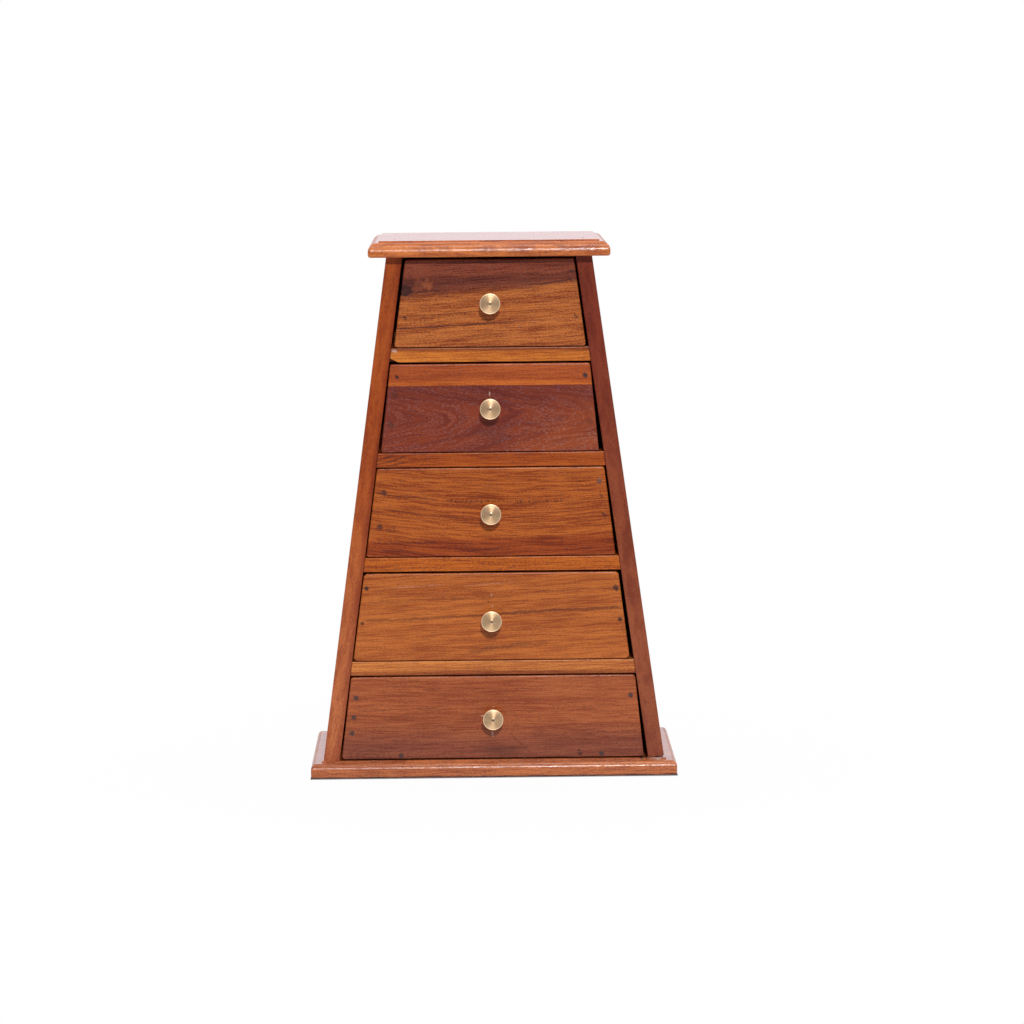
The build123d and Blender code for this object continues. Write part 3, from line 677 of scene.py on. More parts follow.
FLAT = {"normal": (0.0, 0.0, -1.0)}
MOULDED = {**FLAT, "waver": 2.0, "gloss": 1.15, "coat": 0.6, "ripple": 3.0}
BOARDS = {
    "top_board": Board(
        **MOULDED,
        pith=(90.0, 160.0),
        shine=0.35,
        seed=1.7,
        # Painted shade: a dark line on the small step below the level top, over its right half
        marks=(Line((14, 399.1), (86, 399.1), 0.4, 0.0, 0.9, 0.4, (0.13, 0.014, 0.018)),),
    ),
    "base_board": Board(
        **MOULDED,
        pith=(110.0, -140.0),
        shine=0.41,
        seed=8.3,
        marks=(
            # Painted shade: a dark line along the base's bottom edge, where it stands on the floor
            Line((-175, 0.8), (175, 0.8), 0.5, 0.0, 1.0, 0.0, (0.05, 0.017, 0.022)),
            Spot(122.0, 12.0, 7.0, 1.6, PALE_SCUFF_AND_HIGHLIGHT, 0.7, 0.6, 0.6),
            Spot(110.5, 11.6, 1.5, 1.0, SOOT, 0.9, 0.6, 0.5),
            Spot(114.0, 11.8, 1.0, 0.9, SOOT, 0.8, 0.6, 0.5),
        ),
    ),
    "left_side": Board(
        **up_side(LEFT),
        pith=(60.0, 300.0),
        contrast=0.6,
        seed=3.1,
        marks=(
            Zone(0, 150, 0, (1.34, 2.08, 4.6), 120, 0, upward=False),
            Zone(-92.4, 200, 90 - LEAN_ANGLE, (0.74, 0.60, 0.62), 2.2, 0.8, upward=False),
        ),
    ),
    "right_side": Board(
        **up_side(RIGHT),
        pith=(60.0, 320.0),
        contrast=0.6,
        seed=5.9,
        marks=(Zone(0, 230, 0, (0.72, 0.45, 0.44), 130, 0),),
    ),
    "back_panel": Board(
        along=(0.0, 0.0, 1.0), normal=(0.0, -1.0, 0.0), pith=(70.0, 30.0), taper=0.12, seed=9.2
    ),
    "shelf_1": Board(
        contrast=0.9,
        seed=11.4,
        marks=(
            Zone(0, 317.8, 0, (0.55, 0.44, 0.62), 1.2, 0.9),
            # Painted highlight: a pale spot at the chipped left end of the shelf's front
            Spot(-70.6, 318.4, 2.6, 1.5, PALE_SCUFF_AND_HIGHLIGHT, 0.75, 0.6, 0.7),
        ),
    ),
    "shelf_2": Board(
        along=sloped(-1.0),
        contrast=1.1,
        seed=2.6,
        marks=(
            Line((-88, 234.0), (-62, 241.0), 1.0, 1.0, 0.8),
            Line((-90, 236.0), (-72, 241.5), 0.9, 0.5, 0.8),
            Line((-84, 232.5), (-55, 238.5), 0.8, 1.0, 0.7),
        ),
    ),
    "shelf_3": Board(contrast=1.1, fibre_share=1.3, seed=6.1, pore_share=0.55, pore_strength=0.7),
    "shelf_4": Board(
        contrast=0.9,
        seed=7.7,
        marks=(Zone(0, 79.0, 0, (0.62, 0.5, 0.5), 1.4, 0.7, upward=False),),
    ),
    "drawer_1_front": Board(
        along=sloped(3.1),
        waver=1.8,
        band_width=4.5,
        contrast=1.25,
        fibre_share=1.4,
        specks=0.25,
        seed=4.4,
        marks=(
            Zone(0, 363.4, 4.4, (0.48, 0.40, 0.78), 3.2, 3.0),
            Zone(0, 367.2, 4.0, (0.78, 0.72, 0.85), 2.8, 4.0),
            Zone(0, 373.0, 2.0, (1.40, 1.45, 1.25), 3.5, 3.5),
            Spot(-45.5, 366.2, 5.2, 5.4, (0.33, 0.083, 0.028), 0.75, 0.6, 1.4),
            Spot(-52.5, 367.4, 3.4, 5.0, (0.30, 0.075, 0.028), 0.55, 0.5, 1.0),
            Spot(-52.0, 367.0, 2.0, 3.4, (0.10, 0.026, 0.016), 0.6, 0.6, 0.8),
            Line((-57, 360.8), (-36, 363.4), 0.9, -0.4, 0.85, 0.3),
            Line((-42, 365.6), (-28, 369.8), 0.9, 0.5, 0.6, 0.4),
            Spot(-59.0, 369.0, 9.0, 4.6, (0.070, 0.018, 0.012), 0.55, 0.8, 0.5),
            Spot(-62.2, 363.0, 6.4, 4.8, (0.040, 0.009, 0.005), 0.95, 0.35, 0.5),
            Spot(-61.8, 362.8, 3.8, 2.4, (0.100, 0.026, 0.018), 0.6, 0.6, 0.9, 1.5),
            Line((-67.5, 360.0), (-55, 363.0), 0.9, 0.8, 0.9, 0.1, SOOT),
            Spot(61.0, 376.4, 4.5, 2.2, SOOT, 0.65, 0.9, 0.5),
            Line((28, 366.4), (62, 371.0), 1.2, 0.6, 0.75, 0.1),
            Line((-71, 334.7), (8, 338.9), 0.8, 0.0, 0.95, 0.1),
            Line((-8, 338.2), (71, 342.4), 0.7, 0.0, 0.6, 0.4, (0.11, 0.035, 0.030)),
            Line((-68, 343.3), (-8, 347.6), 0.7, 0.2, 0.55, 0.5),
            Line((-60, 340.6), (-12, 343.0), 0.9, 0.0, 0.45, 1.0),
            Line((8, 351.5), (68, 356.5), 0.6, 0.0, 0.4, 0.4),
            Line((-70, 327.0), (30, 331.0), 0.7, 0.0, 0.4, 0.4),
        ),
    ),
    "drawer_2_front": Board(
        pith=(9.0, 1.0),
        taper=0.14,
        waver=5.0,
        waver_length=48.0,
        band_width=3.4,
        dark_share=(0.74, 0.70, 0.95),
        light_share=(1.35, 1.55, 1.15),
        pore_length=3.0,
        pore_width=0.45,
        pore_share=0.85,
        pore_colour=PALE_PORE,
        pore_strength=0.30,
        seed=12.9,
        marks=(
            Zone(0, 280.0, 0, (0.80, 0.76, 0.92), 7, 3),
            Zone(42, 262.0, 35, (1.32, 1.60, 1.35), 22, 6, upward=False),
            # Painted shadow: a broad soft dark patch round and below the knob
            Spot(0.0, 256.0, 22.0, 10.0, (0.105, 0.026, 0.024), 0.4, 0.9, 0.9),
            Spot(-70.6, 287.4, 3.2, 2.8, DARK_BROWN, 0.35, 0.5, 0.2),
            Spot(-74.3, 264.2, 3.2, 2.8, DARK_BROWN, 0.45, 0.5, 0.2),
            Spot(-0.6, 286.0, 0.7, 2.6, PALE_SCUFF_AND_HIGHLIGHT, 0.75, 0.6, 0.5),
        ),
    ),
    "drawer_2_front_strip": Board(
        waver=0.8,
        band_width=5.0,
        contrast=0.7,
        fibre_share=1.3,
        seed=15.2,
        marks=(
            # Painted highlight: the strip made lighter along its bottom edge
            Zone(0, 296.2, -0.4, (1.30, 1.45, 1.05), 1.4, 0.8, upward=False),
            Zone(-20, 300.0, 88, (0.90, 0.86, 0.9), 22, 3),
        ),
    ),
    "drawer_3_front": Board(
        bow=0.62,
        bow_middle=24.0,
        waver=2.0,
        waver_length=46.0,
        band_width=5.0,
        contrast=1.1,
        line_share=0.65,
        fibre_share=1.1,
        seed=18.5,
        marks=(
            Zone(0, 178.4, 1.2, (0.73, 0.54, 0.54), 2.0, 2.0, upward=False),
            Line((-87, 213.2), (-38, 207.7), 0.8, 0.6, 0.9, 0.1),
            Line((-36, 207.0), (58, 205.9), 1.5, 0.6, 0.8, 1.0),
            Line((55, 205.7), (82, 207.7), 0.8, 0.2, 0.6, 0.3),
            Line((-89, 203.2), (62, 199.2), 0.8, 7.5, 0.5, 0.3),
            Line((-88, 198.4), (40, 191.5), 0.7, 5.0, 0.4, 0.4),
            Line((-20, 190.0), (90, 193.0), 0.8, 3.0, 0.4, 0.4),
            Line((15, 172.5), (-20, 169.0), 0.9, 0.6, 0.6, 0.2),
            Line((-82, 169.5), (-50, 167.5), 0.9, -0.8, 0.6, 0.3),
            Line((-90, 175.4), (-40, 176.2), 0.8, 0.6, 0.5, 0.3),
            Spot(-76.3, 185.2, 3.4, 3.0, DARK_BROWN, 0.25, 0.8, 0.6),
            Spot(-72.6, 186.5, 1.4, 2.8, DARK_BROWN, 0.35, 0.8, 0.6),
            Spot(80.4, 221.6, 0.9, 0.9, PALE_SCUFF_AND_HIGHLIGHT, 0.7, 0.6, 0.4),
        ),
    ),
    "drawer_4_front": Board(
        along=sloped(2.3),
        waver=1.3,
        band_width=5.5,
        contrast=0.85,
        pore_length=3.0,
        pore_width=0.5,
        pore_share=0.5,
        seed=21.0,
        marks=(
            Line((-98, 117.2), (6, 121.6), 1.6, 0.4, 0.65, 0.3, RUST),
            Line((0, 121.3), (98, 125.4), 1.9, -0.5, 0.75, 0.2, RUST),
            Line((-20, 92.6), (44, 99.6), 2.4, -1.4, 0.50, 0.3, RUST),
            Line((-95, 131.0), (20, 135.0), 1.4, 0.0, 0.40, 0.4, RUST),
            Line((30, 138.0), (92, 140.5), 1.4, 0.0, 0.40, 0.4, RUST),
            Line((-80, 141.6), (-35, 144.2), 0.6, 0.0, 0.30, 0.8, PALE_SCUFF_AND_HIGHLIGHT),
            Line((-22, 143.0), (18, 145.6), 0.6, 0.0, 0.25, 0.8, PALE_SCUFF_AND_HIGHLIGHT),
            # Painted shadow: a soft dark patch below the knob
            Spot(0.0, 106.0, 10.0, 7.0, DARK_BROWN, 0.25, 0.9, 0.3),
            Spot(-3.0, 130.6, 1.3, 0.8, DARK_BROWN, 0.7, 0.6, 0.4),
            Spot(-0.5, 135.8, 0.6, 1.5, PALE_SCUFF_AND_HIGHLIGHT, 0.6, 0.6, 0.5),
            Spot(0.0, 127.4, 0.9, 0.8, PALE_SCUFF_AND_HIGHLIGHT, 0.6, 0.6, 0.5),
        ),
    ),
    "drawer_5_front": Board(
        along=sloped(0.4),
        waver=1.2,
        band_width=6.0,
        contrast=0.8,
        pore_length=3.0,
        pore_width=0.5,
        pore_share=0.75,
        pore_strength=0.65,
        seed=24.3,
        marks=(
            Zone(0, 33.0, 0.0, (0.69, 0.71, 1.13), 14, 4, upward=False),
            # Painted shade: the front darkened along its bottom edge, by the gap above the base
            Zone(0, 13.3, 0.0, (0.25, 0.20, 0.35), 0.5, 0.3, upward=False),
            Spot(6.0, 18.0, 22.0, 7.0, DARK_BROWN, 0.45, 0.9, 0.4),
            Spot(-92.0, 14.0, 24.0, 15.0, DARK_BROWN, 0.30, 0.6, 0.25, 5.0),
            Line((-104, 49.5), (-40, 51.0), 1.0, 0.0, 0.35, 0.4),
            Line((11, 33.0), (27, 17.2), 1.3, 0.5, 0.60, 0.2, (0.14, 0.022, 0.014)),
            Spot(-8.3, 44.8, 1.6, 0.7, PALE_SCUFF_AND_HIGHLIGHT, 0.8, 0.6, 0.5),
            Spot(-0.8, 31.0, 1.5, 2.8, PALE_SCUFF_AND_HIGHLIGHT, 0.55, 0.7, 0.9),
            Spot(0.0, 51.6, 0.8, 0.8, PALE_SCUFF_AND_HIGHLIGHT, 0.5, 0.6, 0.5),
            Spot(63.7, 18.0, 1.3, 1.1, SOOT, 0.7, 0.6, 0.3),
            Spot(92.0, 23.0, 0.9, 0.9, SOOT, 0.6, 0.6, 0.3),
        ),
    ),
    "drawer_box_side": Board(
        along=(0.0, 1.0, 0.0), normal=(1.0, 0.0, 0.0), pith=(90.0, 40.0), contrast=0.6, gloss=2.2, seed=31.0
    ),
    "drawer_box_back": Board(pith=(80.0, -120.0), contrast=0.6, gloss=2.2, seed=33.0),
    "drawer_box_floor": Board(**FLAT, pith=(60.0, 30.0), taper=0.1, contrast=0.5, gloss=2.4, seed=35.0),
}

JOINT_WIDTH = 0.4
JOINT_TINT = (0.35, 0.26, 0.30)
PLAIN = Vector((1.0, 1.0, 1.0))
LEVEL_START, LEVEL_FULL = 0.92, 0.99  # how far up a face looks where the clear coat starts and is whole
LEVEL_RIPPLE = 0.15  # share of the ripple left on level faces
HEAD_SOFTNESS = 0.5
SAME_POINT = 0.001 * MM


class NailMark(NamedTuple):
    """How the filled and stained head of a nail shows: as a spot, or as a tick where it has a tilt."""

    radius: float
    stain: tuple
    strength: float
    ragged: float = 0.35
    tilt: float = 0.0

    def on(self, across, up):
        """The mark at a place on the front."""
        if self.tilt:
            drop = self.radius * self.tilt
            start, end = (across - self.radius, up + drop), (across + self.radius, up - drop)
            return Line(start, end, self.radius, strength=self.strength, breaks=0.0, ink=self.stain)
        size = (self.radius, self.radius)
        return Spot(across, up, *size, self.stain, self.strength, HEAD_SOFTNESS, self.ragged)


GREY = NailMark(2.5, (0.060, 0.036, 0.034), 0.9)
DARK = NailMark(2.2, (0.040, 0.018, 0.015), 0.9)
SMALL = NailMark(1.7, (0.045, 0.018, 0.015), 0.8)
SPLIT = NailMark(3.0, (0.040, 0.018, 0.015), 0.85, 0.9)
BROWN = NailMark(2.7, (0.075, 0.028, 0.017), 0.85, 0.5)
PALE = NailMark(2.5, (0.120, 0.066, 0.060), 0.8, 0.3)
FAINT = NailMark(3.0, (0.100, 0.026, 0.018), 0.4)
TICK = NailMark(1.5, (0.055, 0.020, 0.014), 0.85, tilt=1.1)
FAINT_TICK = NailMark(1.5, (0.060, 0.024, 0.018), 0.6, tilt=1.1)
HIDDEN = NailMark(1.5, DARK_BROWN, 0.0)
# Each drawer front's nails from left to right, in the order of their lowest corners
NAIL_MARKS = {
    1: (TICK, FAINT_TICK, FAINT_TICK, TICK),
    2: (FAINT, FAINT, TICK, GREY, FAINT),
    3: (BROWN, BROWN, PALE, FAINT_TICK, TICK),
    4: (SMALL, DARK, SPLIT, DARK),
    5: (GREY, GREY, GREY, GREY, SMALL, GREY, GREY, HIDDEN),
}


def loose_solids(node):
    """Lowest and highest corners of each separate solid in a node."""
    solids = bmesh.new()
    solids.from_mesh(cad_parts[node].data)
    bmesh.ops.remove_doubles(solids, verts=solids.verts, dist=SAME_POINT)
    waiting = set(solids.verts)
    corners = []
    while waiting:
        reached = [waiting.pop()]
        for vertex in reached:
            found = {edge.other_vert(vertex) for edge in vertex.link_edges} & waiting
            waiting -= found
            reached.extend(found)
        points = [vertex.co for vertex in reached]
        low = Vector(map(min, zip(*points)))
        high = Vector(map(max, zip(*points)))
        corners.append((low, high))
    solids.free()
    return sorted(corners, key=lambda pair: tuple(pair[0]))


def nail_spots(drawer):
    """The mark of each nail in a drawer's front."""
    solids = loose_solids(f"drawer_{drawer}_front_nails")
    for (low, high), mark in zip(solids, NAIL_MARKS[drawer], strict=True):
        middle = (low + high) / 2 / MM
        yield mark.on(middle.x, middle.z)


def joint_shadows(shelf):
    """Thin dark lines where a shelf meets the leaning sides."""
    low, high = (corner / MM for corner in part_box(shelf))
    middle = (low.z + high.z) / 2
    half_width = high.x - LEAN * (middle - low.z) - JOINT_WIDTH
    look = {"tint": JOINT_TINT, "softness": JOINT_WIDTH, "ragged": JOINT_WIDTH / 2}
    yield Zone(-half_width, middle, 90 - LEAN_ANGLE, **look)
    yield Zone(half_width, middle, 90 + LEAN_ANGLE, **look, upward=False)


def board_material(name, board, colour, origin, more_marks=()):
    """A board's own varnished wood, with its grain laid along it and its marks over that."""
    settings = bpy.context.scene.chest_wood
    material, wires, shader = new_material(name)
    along = Vector(board.along).normalized()
    normal = Vector(board.normal).normalized()
    turned = Matrix((along, normal, along.cross(normal))).transposed()
    start = Vector(origin) + along * board.bow_middle * MM
    coordinates = wires.add("TexCoord", {})
    place = coordinates["Object"]
    mapping = {"Vector": place, "Location": start, "Rotation": turned.to_euler()}
    laid = wires.add("Mapping", mapping, vector_type="TEXTURE")["Vector"]
    grain = wires.group(
        board_grain(),
        {
            "Vector": laid,
            "Pith": Vector((0.0, *board.pith)) * MM,
            **labelled(board, GRAIN_SIZES, MM),
            **labelled(board, GRAIN_VALUES),
        },
    )
    dark, light = (
        rgba(Vector(colour) * PLAIN.lerp(Vector(share), board.contrast))
        for share in (board.dark_share, board.light_share)
    )
    wood = wires.group(
        board_colour(),
        {
            **{part: grain[part] for part in GRAIN_PARTS},
            "Dark": dark,
            "Light": light,
            "Pore Color": rgba(board.pore_colour),
            **labelled(board, COLOUR_SHARES),
        },
    )["Color"]
    looks = [(mark.strength, *mark.look()) for mark in (*board.marks, *more_marks)]
    looks.append((board.specks, dust_specks(), {"Speck": rgba(PALE_SCUFF_AND_HIGHLIGHT)}))
    for strength, group, look in looks:
        inputs = {"Color": wood, "Vector": place, "Strength": strength, **look}
        wood = wires.group(group, inputs)["Color"]
    film = wires.group(
        varnish_film(),
        {
            "Vector": laid,
            "Pores": grain["Pores"],
            "Fibre": grain["Fibre"],
            "Gloss": settings.gloss * board.gloss,
            "Ripple": settings.ripple * board.ripple,
        },
    )
    height = film["Height"]
    if board.coat:
        upward = wires.split(coordinates["Normal"])[2]
        coat = wires.ease(upward, LEVEL_START, LEVEL_FULL, 0.0, board.coat)
        wires.feed(shader.inputs["Coat Weight"], coat)
        height = wires.times(height, wires.ease(upward, LEVEL_START, LEVEL_FULL, 1.0, LEVEL_RIPPLE))
    wires.fill(
        shader,
        {
            "Base Color": wood,
            "Roughness": film["Roughness"],
            "Normal": wires.bump(height),
            "Specular IOR Level": board.shine,
            "Coat Roughness": settings.coat_gloss,
        },
    )
    return material


def dress(node, material):
    """Puts a material on a packed node."""
    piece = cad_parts[node]
    for slot in piece.material_slots:
        slot.material = material
    if not piece.material_slots:
        piece.data.materials.append(material)


def middle_of(node):
    """The middle of a packed node's box."""
    low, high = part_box(node)
    return (low + high) / 2


def dress_board(node, more_marks=()):
    """Gives a board its own wood."""
    colour = getattr(bpy.context.scene.chest_wood, node)
    material = board_material(f"{node}_wood", BOARDS[node], colour, middle_of(node), more_marks)
    dress(node, material)
    return material


# Knobs

FOOT_RADIUS, NECK_RADIUS, DIMPLE_RADIUS = 0.66, 0.49, 0.11  # shares of the knob's radius
FOOT_HEIGHT = 0.09  # share of the knob's reach
FOOT_STEPS = ((0.5, 0.0), (0.92, 0.0), (1.0, 0.3), (1.0, 0.8))  # shares of the foot's radius and height
NECK_START, NECK_END = 0.94, 0.96  # share of the foot's radius, and of the knob's
WAIST_LEAN, WAIST_DEPTH = 0.8, 0.9  # below 1, the waist lies nearer the foot and isn't fully drawn in
RIM_ROUND = 0.2  # share of the rim's width
RING_DEPTH = 6.0  # depth of the scribed ring against a groove
DIMPLE_STEPS = ((0.55, 0.45), (0.2, 0.62))  # shares of the dimple's radius, and depths in millimetres
NECK_STEPS, ROUND_STEPS, GROOVE_STEPS = 24, 6, 4


def knob_profile(radius, reach, brass):
    """Half section of a turned knob from foot to tip: distances from its axis and from the drawer's face."""
    foot_radius, foot_height = FOOT_RADIUS * radius, FOOT_HEIGHT * reach
    neck_radius, neck_start, neck_end = NECK_RADIUS * radius, NECK_START * foot_radius, NECK_END * radius
    rim_face = reach - brass.cone_rise
    rim_back = rim_face - brass.rim_width
    rim_round = RIM_ROUND * brass.rim_width
    points = [(across * foot_radius, up * foot_height) for across, up in FOOT_STEPS]
    for step in range(NECK_STEPS + 1):
        share = step / NECK_STEPS
        height = foot_height + share * (rim_back - foot_height)
        wide = neck_start + (neck_end - neck_start) * share * share
        waist = math.sin(math.pi * share**WAIST_LEAN)
        points.append((wide - (wide - neck_radius) * waist * WAIST_DEPTH, height))
    points.append((radius, rim_back + rim_round))
    face_radius, dimple_radius = radius - rim_round, DIMPLE_RADIUS * radius
    for step in range(ROUND_STEPS + 1):
        turn = math.pi / 2 * step / ROUND_STEPS
        points.append((face_radius + rim_round * math.cos(turn), rim_face - rim_round * (1 - math.sin(turn))))
    steps = int((face_radius - dimple_radius) / brass.groove_pitch * GROOVE_STEPS)
    for step in range(1, steps + 1):
        at = face_radius + (dimple_radius - face_radius) * step / steps
        rise = brass.cone_rise * (face_radius - at) / (face_radius - dimple_radius)
        groove = brass.groove_depth * (0.5 - 0.5 * math.cos(math.tau * at / brass.groove_pitch))
        from_ring = (at - brass.ring_radius) / brass.groove_pitch
        ring = RING_DEPTH * brass.groove_depth * math.exp(-(from_ring**2))
        points.append((at, rim_face + rise - groove - ring))
    points += [(across * dimple_radius, reach - depth * MM) for across, depth in DIMPLE_STEPS]
    return points


def turned_mesh(name, profile, sides):
    """A mesh turned from a half section round its Z axis, closed at both ends."""
    mesh = bmesh.new()
    rings = []
    for distance, height in profile:
        ring = []
        for side in range(sides):
            turn = math.tau * side / sides
            ring.append(mesh.verts.new((distance * math.cos(turn), distance * math.sin(turn), height)))
        rings.append(ring)
    for lower, upper in zip(rings, rings[1:]):
        for side in range(sides):
            after = (side + 1) % sides
            mesh.faces.new((lower[side], lower[after], upper[after], upper[side]))
    mesh.faces.new(reversed(rings[0]))
    mesh.faces.new(rings[-1])
    for face in mesh.faces:
        face.smooth = True
    data = bpy.data.meshes.new(name)
    mesh.to_mesh(data)
    mesh.free()
    return data


BRUSH_SIZE, GROOVE_SIZE = (0.0013, 0.0016, 1.0), (0.00015, 0.0003, 1.0)
BRUSH_SWING = 0.9
TARNISH_PATCH = (0.004, 0.004, 0.004)
TARNISH_RANGE = (0.35, 0.75, 0.1, 0.9)
TARNISH = Vector((0.74, 0.68, 0.60))  # dulled brass against clean brass
RIDGES = (0.60, 0.72)  # levels of the grooves' noise where bright ridges begin and are whole
RIM_EDGE, HOLLOW_EDGE = (0.0066, 0.0072), (0.0004, 0.0011, 0.85, 0.0)  # from the knob's axis
RIDGE_BRASS, RIM_BRASS, HOLLOW_BROWN = (0.95, 0.82, 0.62), (0.90, 0.68, 0.44), (0.10, 0.06, 0.05)
BRUSHING, BRUSH_TURN = 0.82, 0.25


def brass_material():
    """Turned brass, brushed round by the tool, with a little tarnish."""
    settings = bpy.context.scene.chest_brass
    material, wires, shader = new_material("turned_brass")
    place = wires.place()
    x, y, z = wires.split(place)
    reach = wires.vector("LENGTH", wires.joined(x, y))
    brushed = wires.noise(wires.stretched((reach, z, 0.0), BRUSH_SIZE), detail=3.0, roughness=0.7)
    patches = wires.patches(place, TARNISH_PATCH, detail=2.0)
    tarnish = wires.plus(wires.swing(brushed, BRUSH_SWING), wires.ease(patches, *TARNISH_RANGE))
    turned = wires.mix(tarnish, rgba(settings.colour), rgba(Vector(settings.colour) * TARNISH))
    grooves = wires.noise(wires.stretched((reach, z, 0.0), GROOVE_SIZE))
    ridged = wires.mix(wires.ease(grooves, *RIDGES), turned, rgba(RIDGE_BRASS))
    rimmed = wires.mix(wires.ease(reach, *RIM_EDGE), ridged, rgba(RIM_BRASS))
    wires.fill(
        shader,
        {
            "Base Color": wires.mix(wires.ease(reach, *HOLLOW_EDGE), rimmed, rgba(HOLLOW_BROWN)),
            "Roughness": wires.ease(grooves, *RIDGES, settings.roughness, settings.shine),
            "Metallic": 1.0,
            "Anisotropic": BRUSHING,
            "Anisotropic Rotation": BRUSH_TURN,
            "Tangent": wires.add("Tangent", {}, direction_type="RADIAL", axis="Z")["Tangent"],
        },
    )
    return material


# Nails and screws

MOTTLE_SIZE = (0.0012, 0.0012, 0.0012)
MOTTLE_RANGE = (0.3, 0.7)
MOTTLE_DARK, MOTTLE_LIGHT = 0.6, 1.5  # against the main colour
MOTTLE_DULLING = 0.15
MOTTLE_HEIGHT = 0.00005


def iron_material(name, colour, roughness, metallic):
    """Dull iron or steel with a mottled surface."""
    material, wires, shader = new_material(name)
    mottle = wires.patches(wires.place(), MOTTLE_SIZE, detail=3.0, roughness=0.6)
    dark, light = (rgba(Vector(colour) * share) for share in (MOTTLE_DARK, MOTTLE_LIGHT))
    wires.fill(
        shader,
        {
            "Base Color": wires.mix(wires.ease(mottle, *MOTTLE_RANGE), dark, light),
            "Roughness": wires.plus(roughness, wires.swing(mottle, MOTTLE_DULLING)),
            "Metallic": metallic,
            "Normal": wires.bump(wires.times(mottle, MOTTLE_HEIGHT)),
        },
    )
    return material


# Stage

FLOOR_GAP = 0.0001  # keeps the floor and the chest's underside from lying in one plane
FLOOR_LAP = 0.001  # how far the floor goes in under the foot
FLOOR_PATCH = (0.3, 0.3, 0.3)
FLOOR_DARK, FLOOR_LIGHT = rgba((0.84, 0.84, 0.84)), rgba((0.88, 0.88, 0.88))
FLOOR_ROUGHNESS, FLOOR_SHINE = 0.7, 0.2
CONTACT_SHADE = rgba((0.030, 0.012, 0.045))
CONTACT_NARROWING = 6.0  # how much narrower the contact line is at the chest's ends than in front
# How far back or up a direction points where a part of the surroundings begins and is whole
BACKDROP_EDGE, CARD_EDGE, FLOOR_EDGE = (-0.75, 0.35), (-0.94, -0.975), (-0.15, -0.4)


def aim(place, target):
    """Rotation of a lamp at a place that shines at a target."""
    return (Vector(target) - Vector(place)).to_track_quat("-Z", "Y").to_euler()


def add_lamp(name, place, target, power, size):
    """A square soft lamp."""
    lamp = bpy.data.lights.new(name, "AREA")
    lamp.energy = power
    lamp.size = size
    holder = bpy.data.objects.new(name, lamp)
    holder.location = place
    holder.rotation_euler = aim(place, target)
    bpy.context.scene.collection.objects.link(holder)


def seen_directly(wires):
    """1 for rays that show a thing as the background: straight, mirrored or through glass."""
    path = wires.add("LightPath", {})
    mirrored = wires.math("MAXIMUM", path["Is Glossy Ray"], path["Is Transmission Ray"])
    return wires.math("MAXIMUM", path["Is Camera Ray"], mirrored)


def floor_material(settings):
    """A floor lifted to white where it is seen from above, but for the shadow and a painted contact shadow
    round the foot.
    """
    material, wires, shader = new_material("floor_white")
    place = wires.place()
    paper = wires.mix(wires.patches(place, FLOOR_PATCH, detail=2.0), FLOOR_DARK, FLOOR_LIGHT)
    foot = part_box("base_board")[1]
    x, y, _ = wires.split(place)
    past_ends, past_front = (
        wires.math("MAXIMUM", wires.minus(wires.math("ABSOLUTE", part), edge), 0.0)
        for part, edge in ((x, foot.x), (y, foot.y))
    )
    # Painted contact shadow: next to the foot the floor turns dark and is not lifted to white
    outside = wires.joined(wires.times(past_ends, CONTACT_NARROWING), past_front)
    clear = wires.ease(wires.vector("LENGTH", outside), 0.0, settings.contact_reach)
    wires.fill(
        shader,
        {
            "Base Color": wires.mix(clear, CONTACT_SHADE, paper),
            "Roughness": FLOOR_ROUGHNESS,
            "Specular IOR Level": FLOOR_SHINE,
        },
    )
    away = wires.vector("LENGTH", place)
    share = wires.ease(away, settings.shadow_near, settings.shadow_far, settings.floor_white, 1.0)
    lift = wires.times(seen_directly(wires), share, clear)
    glow = wires.add("Emission", {"Color": WHITE, "Strength": 1.0})["Emission"]
    lifted = wires.add("MixShader", {0: lift, 1: shader.outputs["BSDF"], 2: glow})["Shader"]
    below = wires.add("NewGeometry", {})["Backfacing"]
    nothing = wires.add("BsdfTransparent", {})["BSDF"]
    shown = wires.add("MixShader", {0: below, 1: lifted, 2: nothing})["Shader"]
    wires.feed(material.node_tree.nodes["Material Output"].inputs["Surface"], shown)
    return material


